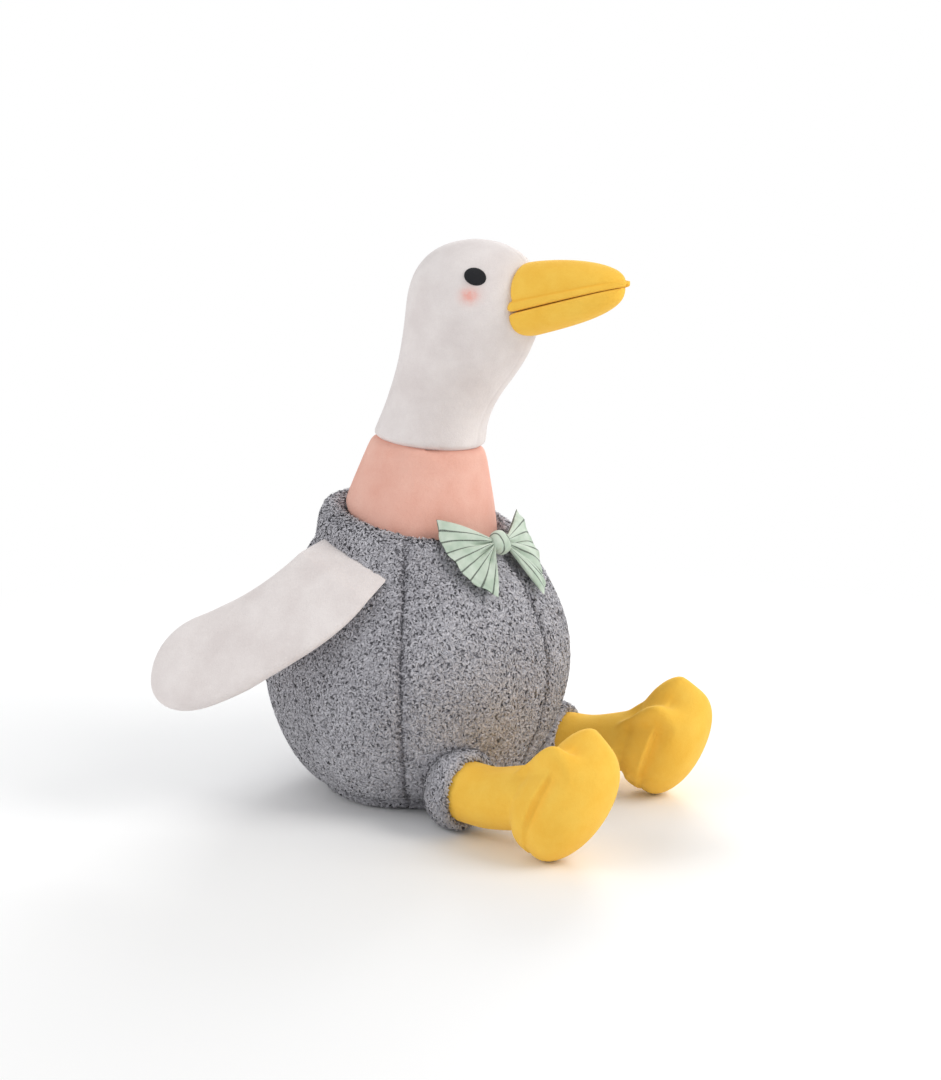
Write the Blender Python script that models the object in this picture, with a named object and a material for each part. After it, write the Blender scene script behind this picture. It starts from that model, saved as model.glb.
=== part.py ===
"""A seated plush goose, about 0.37 m tall.

The goose looks along -Y, its right side is -X, and it sits on the floor at Z = 0.
Everything is in metres. The cover is sewn from separate panels with filling inside.
A turn is an angle round the body: 0 is the front, and it grows toward the goose's left.
"""

import math

import bmesh
import bpy
from mathutils import Matrix, Vector

# Cloth and clearances
FLEECE = 0.0030
VELVET = 0.0018
SEAM_GAP = 0.0003
SEAT_GAP = 0.0006
FILLING_SLACK = 0.0005

# Body: level circles, narrow at the base seam, widest low down, narrow again at the collar
BASE_FLAT_RADIUS = 0.049
BASE_FLAT_SHARE = 0.6
BASE_SEAM_RADIUS = 0.062
BASE_SEAM_HEIGHT = 0.009
BODY_RADIUS = 0.101
BODY_WIDEST_HEIGHT = 0.085
COLLAR_RADIUS = 0.0655
COLLAR_HEIGHT = 0.186
LOWER_FULLNESS = 1.55
UPPER_FULLNESS = 1.3
COLLAR_LEAN = -0.005
SIDE_SEAM_TURN = math.radians(60.0)

# Collar: the fleece cover ends in a tilted plane, and the hem lies on it round the neck
COLLAR_DROP = 0.0130
COLLAR_PLANE_HEIGHT = COLLAR_HEIGHT - COLLAR_DROP
COLLAR_TILT = math.radians(13.5)
HEM_THICKNESS = 0.0115
HEM_HALF_TALL = 0.0068
HEM_RISE_POWER = 0.7
HEM_REACH_POWER = 0.8

# Neck and head: level ovals, each one's height counted from the one below it
NECK_FOOT_DROP = 0.0460
NECK_FOOT_HEIGHT = COLLAR_HEIGHT - NECK_FOOT_DROP
NECK_FOOT_RADIUS = 0.060
NECK_FOOT_FORWARD = 0.002
NECK_RIM_RADIUS = 0.053
NECK_RIM_FORWARD = -0.003
BAND_TALL = 0.0520
BAND_TOP_HEIGHT = COLLAR_HEIGHT + BAND_TALL
BAND_TOP_HALF_WIDTH = 0.0375
BAND_TOP_HALF_DEPTH = 0.0390
BAND_TOP_FORWARD = -0.0115
BAND_TILT = math.radians(6.5)
BAND_TO_WAIST = 0.0240
NECK_WAIST_HEIGHT = BAND_TOP_HEIGHT + BAND_TO_WAIST
NECK_WAIST_HALF_WIDTH = 0.0335
NECK_WAIST_HALF_DEPTH = 0.0370
NECK_WAIST_FORWARD = -0.0210
WAIST_TO_JAW = 0.0300
JAW_HEIGHT = NECK_WAIST_HEIGHT + WAIST_TO_JAW
JAW_HALF_WIDTH = 0.0375
JAW_HALF_DEPTH = 0.0430
JAW_FORWARD = -0.0385
JAW_TO_CHEEK = 0.0320
HEAD_HEIGHT = JAW_HEIGHT + JAW_TO_CHEEK
HEAD_HALF_WIDTH = 0.0400
HEAD_HALF_DEPTH = 0.0470
HEAD_FORWARD = -0.0490
CROWN_TALL = 0.0445
CROWN_HEIGHT = HEAD_HEIGHT + CROWN_TALL
CROWN_FULLNESS = 2.3
CROWN_START = 0.62

# Beak: its length is measured forward from the face
BEAK_HALF_WIDTH = 0.0225
BEAK_LENGTH = 0.0580
MOUTH_LIFT = 0.0015
MOUTH_BASE_HEIGHT = HEAD_HEIGHT + MOUTH_LIFT
MOUTH_RISE = 0.0140
BEAK_TOP_DEPTH = 0.0300
BEAK_BOTTOM_DEPTH = 0.0160
LIP_TALL = 0.0062
LIP_PROUD = 0.0012
LIP_NUB = 0.0035
LIP_NUB_START = 0.85
LIP_TIP_SHARE = 0.6
BEAK_TAPER = 2.1
BEAK_DOME_TAPER = 1.7
BEAK_CHIN_TAPER = 2.8

# Eyes: embroidered ovals
EYE_LIFT = 0.0220
EYE_HEIGHT = HEAD_HEIGHT + EYE_LIFT
EYE_TURN = math.radians(62.0)
EYE_HALF_WIDTH = 0.0068
EYE_HALF_TALL = 0.0056
EYE_THICKNESS = 0.0009

# Wings: flat stuffed bananas sewn on along an edge at the shoulder
WING_ROOT_LOW_TURN = math.radians(74.0)
WING_LOW_DROP = 0.0310
WING_ROOT_LOW_HEIGHT = COLLAR_HEIGHT - WING_LOW_DROP
WING_ROOT_HIGH_TURN = math.radians(117.0)
WING_HIGH_DROP = 0.0080
WING_ROOT_HIGH_HEIGHT = COLLAR_HEIGHT - WING_HIGH_DROP
WING_ROOT_THICKNESS = 0.006
WING_STAND = 0.008
WING_FACE_TURN = math.radians(84.0)
WING_FACE_RISE = math.radians(38.0)
WING_START_DROP = math.radians(70.0)
WING_CURVE = math.radians(56.0)
WING_LENGTH = 0.150
WING_ROOT_HALF = 0.0270
WING_TIP_HALF = 0.0330
WING_THICKNESS = 0.017

# Thighs: short fleece cuffs that hold the legs
THIGH_MOUTH_ACROSS = 0.0620
THIGH_MOUTH_FORWARD = -0.0830
THIGH_MOUTH_RADIUS = 0.0240
THIGH_INNER_ACROSS = 0.0300
THIGH_INNER_FORWARD = -0.0380
THIGH_INNER_RADIUS = 0.0200
THIGH_SWELL = 0.0022
THIGH_SOCKET_DEPTH = 0.0060
THIGH_SEAT_GAP = 0.0014

# Legs and feet
LEG_RADIUS = 0.0190
LEG_LENGTH = 0.0580
FOOT_THICKNESS = 0.0300
FOOT_BACK_THICKNESS = 0.0170
FOOT_HALF_LENGTH = 0.0405
FOOT_HALF_WIDTH = 0.0270
FOOT_FULLNESS = 2.3
FOOT_LEAN = math.radians(20.0)
HEEL_DROP = 0.0110
TOE_TURN = math.radians(34.0)
TOE_WIDTH = math.radians(10.0)
MIDDLE_TOE_WIDTH = math.radians(14.0)
MIDDLE_TOE_SHARE = 0.7
TOE_LENGTH = 0.0105
TOE_REACH = 0.0100
TOE_VALLEY = 0.35
ANKLE_START = 0.3
ANKLE_BLEND = 0.0060
ANKLE_FILLET = 0.0036
RIGHT_SPLAY = math.radians(8.0)
RIGHT_ROLL = math.radians(16.0)
LEFT_SPLAY = math.radians(4.0)
LEFT_ROLL = math.radians(3.0)

# Bow: two pleated fans and a knot at the front of the collar
BOW_TURN = math.radians(-8.0)
BOW_PITCH = math.radians(38.0)
BOW_SEAT_RISE = math.radians(20.0)
BOW_CURL = 5.0
BOW_ROLL = math.radians(-14.0)
KNOT_HALF_WIDTH = 0.0062
KNOT_HALF_TALL = 0.0070
KNOT_HALF_DEPTH = 0.0052
BOW_LENGTH = 0.0380
RIGHT_FAN_SPREAD = math.radians(50.0)
RIGHT_FAN_DROOP = math.radians(24.0)
LEFT_FAN_SPREAD = math.radians(58.0)
BOW_THICKNESS = 0.0040
PLEAT_DEPTH = 0.0040
PLEAT_COUNT = 2.5

# Facets
COLUMN = math.radians(10.0)
BODY_ROWS = 15
HEAD_COLUMNS = 13
HEAD_ROWS = 12
LEG_COLUMNS = 36
LEG_SHARES = (0.03, 0.12, 0.24, 0.34, 0.42, 0.5, 0.57, 0.64, 0.71, 0.78, 0.85, 0.91, 0.96, 0.99)


# Small helpers


def clear_scene():
    for thing in list(bpy.data.objects):
        bpy.data.objects.remove(thing, do_unlink=True)


def make_material(name, colour, roughness, sheen=0.0):
    material = bpy.data.materials.new(name)
    material.use_nodes = True
    shader = material.node_tree.nodes["Principled BSDF"]
    shader.inputs["Base Color"].default_value = (*colour, 1.0)
    shader.inputs["Roughness"].default_value = roughness
    shader.inputs["Metallic"].default_value = 0.0
    shader.inputs["Sheen Weight"].default_value = sheen
    material.diffuse_color = (*colour, 1.0)
    return material


def mix(start, end, share):
    return start + (end - start) * share


def superellipse(share, fullness):
    """Height of a rounded end at a share of its length: 1 at the start, 0 at the end."""
    inside = max(0.0, 1.0 - abs(share) ** fullness)
    return inside ** (1.0 / fullness)


def smooth_through(stations, height):
    """Values at a height on a smooth curve through rows of (height, value, value, ...)."""
    last = len(stations) - 2
    index = 0
    while index < last and height > stations[index + 1][0]:
        index += 1
    low = stations[index]
    high = stations[index + 1]
    span = high[0] - low[0]
    share = (height - low[0]) / span

    def slope(at, column):
        before = stations[max(at - 1, 0)]
        after = stations[min(at + 1, len(stations) - 1)]
        return (after[column] - before[column]) / (after[0] - before[0])

    values = []
    for column in range(1, len(low)):
        start_slope = slope(index, column) * span
        end_slope = slope(index + 1, column) * span
        square = share * share
        cube = square * share
        values.append(
            low[column] * (2 * cube - 3 * square + 1)
            + start_slope * (cube - 2 * square + share)
            + high[column] * (3 * square - 2 * cube)
            + end_slope * (cube - square)
        )
    return values


def normal_at(surface, across, along):
    """Outward normal of surface(across, along), with along kept between 0 and 1.

    At a pole, where all places across meet in one point, it is straight up or straight down.
    """
    step = 0.01
    low = max(along - step, 0.0)
    high = min(along + step, 1.0)
    side = surface(across + step, along) - surface(across - step, along)
    rise = surface(across, high) - surface(across, low)
    if side.length == 0.0:
        nudge = step if along < 0.5 else -step
        return Vector((0.0, 0.0, math.copysign(1.0, normal_at(surface, across, along + nudge).z)))
    return side.cross(rise).normalized()


def inset(surface, across, along, depth):
    """The point of a surface moved inward by a depth."""
    return surface(across, along) - normal_at(surface, across, along) * depth


def add_grid(points, faces, rows, closed):
    """Adds rows of points and the quads between them. Returns the index of each point."""
    index = []
    for row in rows:
        index.append([len(points) + number for number in range(len(row))])
        points.extend(row)
    count = len(rows[0])
    for low, high in zip(index, index[1:]):
        for number in range(count if closed else count - 1):
            after = (number + 1) % count
            faces.append((low[number], low[after], high[after], high[number]))
    return index


def finish_mesh(name, points, faces, material, smooth_angle=50.0):
    """One closed object whose faces point outward."""
    mesh = bpy.data.meshes.new(name)
    builder = bmesh.new()
    made = [builder.verts.new(point) for point in points]
    for face in faces:
        corners = []
        for number in face:
            if made[number] not in corners:
                corners.append(made[number])
        builder.faces.new(corners)
    bmesh.ops.remove_doubles(builder, verts=builder.verts, dist=0.00001)
    bmesh.ops.dissolve_degenerate(builder, edges=builder.edges, dist=0.00001)
    bmesh.ops.triangulate(builder, faces=[face for face in builder.faces if len(face.verts) > 4])
    bmesh.ops.recalc_face_normals(builder, faces=builder.faces)
    builder.to_mesh(mesh)
    builder.free()
    mesh.shade_smooth()
    mesh.set_sharp_from_angle(angle=math.radians(smooth_angle))
    mesh.materials.append(material)
    made_object = bpy.data.objects.new(name, mesh)
    bpy.context.scene.collection.objects.link(made_object)
    return made_object


def make_panel(name, surface, columns, rows, depth, material, closed=False, ceiling=None):
    """A sheet of cloth with its thickness: the surface, a copy inside it and the edges.

    A ceiling is a tilted plane that the inner copy stays under.
    """
    points = []
    faces = []
    outer = [[surface(across, along) for across in columns] for along in rows]
    inner = [[inset(surface, across, along, depth) for across in columns] for along in rows]
    if ceiling:
        for point in inner[-1]:
            point.z = min(point.z, ceiling(point.y))
    out_index = add_grid(points, faces, outer, closed)
    in_index = add_grid(points, faces, inner, closed)
    for near, far in ((out_index[0], in_index[0]), (out_index[-1], in_index[-1])):
        count = len(near)
        for number in range(count if closed else count - 1):
            after = (number + 1) % count
            faces.append((near[number], near[after], far[after], far[number]))
    if not closed:
        for side in (0, -1):
            for low in range(len(out_index) - 1):
                high = low + 1
                faces.append(
                    (out_index[low][side], out_index[high][side], in_index[high][side], in_index[low][side])
                )
    return finish_mesh(name, points, faces, material)


def add_hub(points, faces, ring):
    """Closes a round ring with triangles to its centre."""
    centre = sum((points[number] for number in ring), Vector()) / len(ring)
    points.append(centre)
    hub = len(points) - 1
    for number, corner in enumerate(ring):
        faces.append((corner, ring[(number + 1) % len(ring)], hub))


def add_strip(faces, ring, shared_ends):
    """Closes a long narrow ring with quads from one long side to the other."""
    count = len(ring)
    last = count if shared_ends else count - 1
    for number in range(last // 2):
        faces.append(
            (ring[number], ring[number + 1], ring[last - number - 1], ring[(last - number) % count])
        )


def make_closed(name, rings, material, smooth_angle=50.0, first="hub", final="hub"):
    """A solid from closed rings. Its ends are a hub or a strip, with or without shared corners."""
    points = []
    faces = []
    index = add_grid(points, faces, rings, True)
    for ring, cap in ((index[0], first), (index[-1], final)):
        if cap == "hub":
            add_hub(points, faces, ring)
        else:
            add_strip(faces, ring, cap == "shared strip")
    return finish_mesh(name, points, faces, material, smooth_angle)


def steps(start, end, count):
    return [mix(start, end, number / count) for number in range(count + 1)]


def around(count):
    return [math.tau * number / count for number in range(count)]


# Body surface


def body_lean(height):
    return COLLAR_LEAN * height / COLLAR_HEIGHT


def body_radius(height):
    if height < BASE_SEAM_HEIGHT:
        share = 1.0 - max(height, 0.0) / BASE_SEAM_HEIGHT
        return mix(BASE_FLAT_RADIUS, BASE_SEAM_RADIUS, math.sqrt(1.0 - share * share))
    if height < BODY_WIDEST_HEIGHT:
        rise = (height - BASE_SEAM_HEIGHT) / (BODY_WIDEST_HEIGHT - BASE_SEAM_HEIGHT)
        return mix(BASE_SEAM_RADIUS, BODY_RADIUS, superellipse(1.0 - rise, LOWER_FULLNESS))
    fall = min((height - BODY_WIDEST_HEIGHT) / (COLLAR_HEIGHT - BODY_WIDEST_HEIGHT), 1.0)
    swell = 0.5 * (1.0 + math.cos(math.pi * fall**UPPER_FULLNESS))
    return mix(COLLAR_RADIUS, BODY_RADIUS, swell)


def body_point(turn, height):
    radius = body_radius(height)
    return Vector((radius * math.sin(turn), body_lean(height) - radius * math.cos(turn), height))


def collar_plane(forward):
    """Height of the tilted plane in which the fleece cover ends."""
    return COLLAR_PLANE_HEIGHT + math.tan(COLLAR_TILT) * forward


def height_on(plane, point_at, turn):
    """Height at which a surface crosses a tilted plane, found by stepping toward it."""
    height = plane(0.0)
    for _ in range(12):
        height = plane(point_at(turn, height).y)
    return height


def cover_surface(turn, share):
    """The fleece cover from its base seam to the collar."""
    top = height_on(collar_plane, body_point, turn)
    height = mix(BASE_SEAM_HEIGHT, top, share**1.25)
    return body_point(turn, height)


def base_surface(turn, share):
    """The base panel from its middle, over the flat it sits on, up to its seam."""
    if share < BASE_FLAT_SHARE:
        radius = BASE_FLAT_RADIUS * share / BASE_FLAT_SHARE
        height = 0.0
    else:
        angle = 0.5 * math.pi * (share - BASE_FLAT_SHARE) / (1.0 - BASE_FLAT_SHARE)
        radius = mix(BASE_FLAT_RADIUS, BASE_SEAM_RADIUS, math.sin(angle))
        height = (BASE_SEAM_HEIGHT - SEAM_GAP) * (1.0 - math.cos(angle))
    return Vector((radius * math.sin(turn), body_lean(height) - radius * math.cos(turn), height))


def body_clearance(point):
    """How far a point lies outside the fleece, measured level."""
    return math.hypot(point.x, point.y - body_lean(point.z)) - body_radius(point.z)


def reach_body(start, inward, gap=SEAT_GAP):
    """Where a straight line from outside meets the fleece, less the gap that is left there."""
    direction = inward.normalized()
    low = 0.0
    high = 0.0
    while body_clearance(start + direction * high) > gap:
        low = high
        high += 0.001
    for _ in range(30):
        middle = 0.5 * (low + high)
        if body_clearance(start + direction * middle) > gap:
            low = middle
        else:
            high = middle
    return start + direction * low


# Neck and head surface


NECK_STATIONS = (
    (NECK_FOOT_HEIGHT, NECK_FOOT_FORWARD, NECK_FOOT_RADIUS, NECK_FOOT_RADIUS),
    (COLLAR_HEIGHT, NECK_RIM_FORWARD, NECK_RIM_RADIUS, NECK_RIM_RADIUS),
    (BAND_TOP_HEIGHT, BAND_TOP_FORWARD, BAND_TOP_HALF_WIDTH, BAND_TOP_HALF_DEPTH),
    (NECK_WAIST_HEIGHT, NECK_WAIST_FORWARD, NECK_WAIST_HALF_WIDTH, NECK_WAIST_HALF_DEPTH),
    (JAW_HEIGHT, JAW_FORWARD, JAW_HALF_WIDTH, JAW_HALF_DEPTH),
    (HEAD_HEIGHT, HEAD_FORWARD, HEAD_HALF_WIDTH, HEAD_HALF_DEPTH),
)


def head_oval(height):
    """Forward shift, half width and half depth of the head and neck at a height."""
    if height <= HEAD_HEIGHT:
        return smooth_through(NECK_STATIONS, height)
    share = min((height - HEAD_HEIGHT) / (CROWN_HEIGHT - HEAD_HEIGHT), 1.0)
    scale = superellipse(share, CROWN_FULLNESS)
    return HEAD_FORWARD, HEAD_HALF_WIDTH * scale, HEAD_HALF_DEPTH * scale


def head_point(turn, height):
    forward, half_width, half_depth = head_oval(height)
    return Vector((half_width * math.sin(turn), forward - half_depth * math.cos(turn), height))


def band_plane(forward):
    """Height of the seam between the neck band and the white cover."""
    return BAND_TOP_HEIGHT + math.tan(BAND_TILT) * (forward - BAND_TOP_FORWARD)


def band_surface(turn, share):
    foot = height_on(collar_plane, head_point, turn) + SEAM_GAP
    seam = height_on(band_plane, head_point, turn) - SEAM_GAP
    return head_point(turn, mix(foot, seam, share))


def head_surface(turn, share):
    """The white cover: up to the widest level for the first part, then over the crown."""
    if share < CROWN_START:
        seam = height_on(band_plane, head_point, turn)
        return head_point(turn, mix(seam, HEAD_HEIGHT, share / CROWN_START))
    angle = 0.5 * math.pi * (share - CROWN_START) / (1.0 - CROWN_START)
    rise = math.sin(angle) ** (2.0 / CROWN_FULLNESS)
    return head_point(turn, mix(HEAD_HEIGHT, CROWN_HEIGHT, rise))


def face_forward(across, height):
    """How far forward the face is at a place on it, with the gap that the beak keeps."""
    forward, half_width, half_depth = head_oval(height)
    share = min(abs(across) / half_width, 1.0)
    return forward - half_depth * math.sqrt(1.0 - share * share) - SEAT_GAP


# Cover and filling


def make_body(fleece, filling):
    gap_turn = 0.5 * SEAM_GAP / BASE_SEAM_RADIUS
    side_columns = round(SIDE_SEAM_TURN / COLUMN)
    back_columns = round((math.pi - SIDE_SEAM_TURN) / COLUMN)
    rows = steps(0.0, 1.0, BODY_ROWS)
    for side, word in ((-1, "right"), (1, "left")):
        front = steps(side * gap_turn, side * (SIDE_SEAM_TURN - gap_turn), side_columns)
        back = steps(side * (SIDE_SEAM_TURN + gap_turn), side * (math.pi - gap_turn), back_columns)
        for place, columns in (("front", front), ("back", back)):
            make_panel(
                f"body_{place}_{word}",
                cover_surface,
                sorted(columns),
                rows,
                FLEECE,
                fleece,
                ceiling=collar_plane,
            )
    ring = around(round(math.tau / COLUMN))
    base_rows = (0.0, 0.5 * BASE_FLAT_SHARE, BASE_FLAT_SHARE, 0.75, 0.88, 1.0)
    make_panel("body_base", base_surface, ring, base_rows, FLEECE, fleece, closed=True)

    depth = FLEECE + FILLING_SLACK
    ring = around(round(math.pi / COLUMN))
    rings = []
    for share in base_rows[1:5]:
        rings.append([inset(base_surface, turn, share, depth) for turn in ring])
    for share in rows:
        rings.append([inset(cover_surface, turn, share, depth) for turn in ring])
    for point in rings[-1]:
        point.z = min(point.z, collar_plane(point.y))
    make_closed("body_filling", rings, filling)


def keep_side(surface, side):
    """The same surface, held on one side of the middle seam."""

    def held(turn, share):
        point = surface(turn, share)
        point.x = side * max(side * point.x, 0.5 * SEAM_GAP)
        return point

    return held


def make_head(velvet, band_cloth, filling):
    ring = around(2 * HEAD_COLUMNS)
    band_rows = steps(0.0, 1.0, 4)
    make_panel("neck_band", band_surface, ring, band_rows, VELVET, band_cloth, closed=True)
    rows = steps(0.0, 1.0, HEAD_ROWS)
    for side, word in ((-1, "right"), (1, "left")):
        columns = sorted(steps(0.0, side * math.pi, HEAD_COLUMNS))
        make_panel(f"head_{word}", keep_side(head_surface, side), columns, rows, VELVET, velvet)

    depth = VELVET + FILLING_SLACK
    rings = [[inset(band_surface, turn, share, depth) for turn in ring] for share in band_rows[:-1]]
    for point in rings[0]:
        point.z = collar_plane(point.y) + SEAM_GAP
    for share in rows[:-1]:
        rings.append([inset(head_surface, turn, share, depth) for turn in ring])
    make_closed("head_filling", rings, filling)


def hem_point(turn, angle):
    """The rolled hem: its inner side lies along the neck band and its bottom on the cover."""
    rise = math.copysign(abs(math.sin(angle)) ** HEM_RISE_POWER, math.sin(angle))
    reach = math.copysign(abs(math.cos(angle)) ** HEM_REACH_POWER, math.cos(angle))
    over_plane = SEAM_GAP + HEM_HALF_TALL * (1.0 + rise)
    outward = Vector((math.sin(turn), -math.cos(turn), 0.0))

    def hem_plane(forward):
        return collar_plane(forward) + over_plane

    foot = head_point(turn, height_on(hem_plane, head_point, turn))
    point = foot + outward * (SEAT_GAP + HEM_THICKNESS * 0.5 * (1.0 + reach))
    point.z = hem_plane(point.y)
    return point


def make_hem(fleece):
    """A closed ring, so its last row joins its first."""
    points = []
    faces = []
    ring = around(2 * HEAD_COLUMNS)
    rows = [[hem_point(turn, angle) for turn in ring] for angle in around(10)]
    index = add_grid(points, faces, rows, True)
    count = len(ring)
    for number in range(count):
        after = (number + 1) % count
        faces.append((index[-1][number], index[-1][after], index[0][after], index[0][number]))
    return finish_mesh("collar_hem", points, faces, fleece)


# Beak and eyes


def beak_height(layer, forward, share, lift):
    """Height of a layer at a place forward. Lift runs from -1 at its bottom to 1 at its top.

    The mouth line and the lip's top are planes, so that neighbouring layers lie flat together.
    """
    reach = (face_forward(0.0, MOUTH_BASE_HEIGHT) - forward) / BEAK_LENGTH
    mouth = MOUTH_BASE_HEIGHT + MOUTH_RISE * reach
    lip = LIP_TALL * mix(1.0, LIP_TIP_SHARE, reach)
    if layer == "lip":
        return mouth + lip * (0.5 + 0.5 * lift)
    if layer == "upper":
        dome = superellipse(share, BEAK_DOME_TAPER)
        return mouth + lip + SEAM_GAP + (BEAK_TOP_DEPTH - LIP_TALL) * max(lift, 0.0) * dome
    chin = superellipse(share, BEAK_CHIN_TAPER)
    return mouth - SEAM_GAP + BEAK_BOTTOM_DEPTH * min(lift, 0.0) * chin


def beak_point(layer, angle, share):
    """A point of one layer of the beak. The angle runs from the goose's left edge over the top."""
    side = math.cos(angle)
    side = math.copysign(abs(side) ** 0.85, side)
    lift = math.sin(angle)
    proud = LIP_PROUD if layer == "lip" else 0.0
    nub_share = max(0.0, (share - LIP_NUB_START) / (1.0 - LIP_NUB_START))
    nub = LIP_NUB * nub_share**2 if layer == "lip" else 0.0
    across = (BEAK_HALF_WIDTH + proud) * side
    root = face_forward(across, MOUTH_BASE_HEIGHT)
    for _ in range(6):
        root = face_forward(across, beak_height(layer, root, 0.0, lift))
    tip = face_forward(0.0, MOUTH_BASE_HEIGHT) - BEAK_LENGTH
    forward = mix(root, tip - proud, share) - nub
    height = beak_height(layer, forward, share, lift)
    return Vector((across * superellipse(share, BEAK_TAPER), forward, height))


def make_beak_layer(layer, cloth):
    """A layer with a curved back that follows the face and a rounded tip."""
    ring = around(24)
    edge = [beak_point(layer, angle, 0.0) for angle in ring]
    middle = 0.5 * (min(point.z for point in edge) + max(point.z for point in edge))
    rings = []
    for shrink in (0.04, 0.28, 0.52, 0.76):
        row = []
        for point in edge:
            across = point.x * shrink
            height = mix(middle, point.z, shrink)
            row.append(Vector((across, face_forward(across, height), height)))
        rings.append(row)
    for share in (0.0, 0.15, 0.32, 0.5, 0.66, 0.8, 0.9, 0.96, 0.99):
        rings.append([beak_point(layer, angle, share) for angle in ring])
    return make_closed(f"beak_{layer}", rings, cloth)


def make_eye(name, side, thread):
    """A padded oval of thread that lies on the face."""
    rise = (EYE_HEIGHT - HEAD_HEIGHT) / (CROWN_HEIGHT - HEAD_HEIGHT)
    angle_up = math.asin(rise ** (CROWN_FULLNESS / 2.0))
    share = mix(CROWN_START, 1.0, angle_up / (0.5 * math.pi))
    turn = side * EYE_TURN
    step = 0.01
    per_turn = (head_surface(turn + step, share) - head_surface(turn - step, share)).length / (2 * step)
    per_share = (head_surface(turn, share + step) - head_surface(turn, share - step)).length / (2 * step)

    def on_face(angle, reach, lift):
        across = turn + EYE_HALF_WIDTH * reach * math.cos(angle) / per_turn
        along = share + EYE_HALF_TALL * reach * math.sin(angle) / per_share
        return inset(head_surface, across, along, -lift)

    ring = around(20)
    rings = []
    for reach in (0.3, 0.65, 1.0):
        rings.append([on_face(angle, reach, SEAM_GAP) for angle in ring])
    for reach in (0.97, 0.65, 0.3):
        lift = SEAM_GAP + EYE_THICKNESS * superellipse(0.8 * reach, 2.0)
        rings.append([on_face(angle, reach, lift) for angle in ring])
    return make_closed(name, rings, thread)


# Wings


def wing_root(side, across):
    """A place on the body along the wing's sewn edge, from -1 low in front to 1 high behind."""
    share = 0.5 + 0.5 * across
    turn = mix(WING_ROOT_LOW_TURN, WING_ROOT_HIGH_TURN, share)
    return body_point(side * turn, mix(WING_ROOT_LOW_HEIGHT, WING_ROOT_HIGH_HEIGHT, share))


def wing_frame(side):
    """The wing's outer face direction, and the level and falling directions in its plane."""
    level_face = Vector((side * math.sin(WING_FACE_TURN), -math.cos(WING_FACE_TURN), 0.0))
    up = Vector((0.0, 0.0, 1.0))
    face = level_face * math.cos(WING_FACE_RISE) + up * math.sin(WING_FACE_RISE)
    backward = Vector((-side * level_face.y, abs(level_face.x), 0.0)).normalized()
    down = level_face * math.sin(WING_FACE_RISE) - up * math.cos(WING_FACE_RISE)
    return face, backward, down


def wing_point(side, share, across, layer):
    """A point of the wing. Across runs from -1 at the lower edge to 1, layer is -1 or 1."""
    face, backward, down = wing_frame(side)
    radius = WING_LENGTH / WING_CURVE
    angle = WING_START_DROP - WING_CURVE * share
    run = radius * (math.sin(WING_START_DROP) - math.sin(angle))
    fall = radius * (math.cos(angle) - math.cos(WING_START_DROP))
    start = wing_root(side, 0.0) + face * WING_STAND
    centre = start + backward * run + down * fall
    cross = backward * math.sin(angle) - down * math.cos(angle)
    tip_share = max(0.0, (share - 0.74) / 0.26)
    half = mix(WING_ROOT_HALF, WING_TIP_HALF, min(share / 0.6, 1.0)) * superellipse(tip_share, 2.2)
    fill = math.sin(0.5 * math.pi * min(share / 0.35, 1.0))
    thickness = mix(WING_ROOT_THICKNESS, WING_THICKNESS, fill)
    pad = superellipse(across, 2.4) * superellipse(tip_share, 2.6)
    return centre + cross * half * across + face * layer * 0.5 * thickness * pad


def make_wing(name, side, cloth):
    """Rings round the wing, the first one cut to the body where the wing is sewn on."""
    across_steps = (-1.0, -0.9, -0.64, -0.32, 0.0, 0.32, 0.64, 0.9, 1.0)
    loop = [(across, 1) for across in across_steps]
    loop += [(across, -1) for across in reversed(across_steps[1:-1])]
    face, _, _ = wing_frame(side)
    root = []
    for across, layer in loop:
        start = wing_point(side, 0.1, across, layer)
        proud = face * layer * 0.5 * WING_ROOT_THICKNESS * superellipse(across, 2.4)
        target = wing_root(side, across) + proud
        inward = Vector((0.0, body_lean(target.z), target.z)) - target
        root.append(reach_body(start, target + inward * 0.2 - start))
    rings = [root]
    for share in (0.1, 0.18, 0.28, 0.38, 0.5, 0.62, 0.74, 0.81, 0.88, 0.94, 0.975, 0.992):
        rings.append([wing_point(side, share, across, layer) for across, layer in loop])
    return make_closed(name, rings, cloth, 60.0, "shared strip", "shared strip")


# Thighs and legs


def thigh_mouth(side):
    """The middle of the cuff's opening, as high as the leg needs it to rest its heel."""
    return Vector((side * THIGH_MOUTH_ACROSS, THIGH_MOUTH_FORWARD, leg_height(side)))


def leg_direction(side):
    splay = RIGHT_SPLAY if side < 0 else LEFT_SPLAY
    return Vector((side * math.sin(splay), -math.cos(splay), 0.0))


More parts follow.
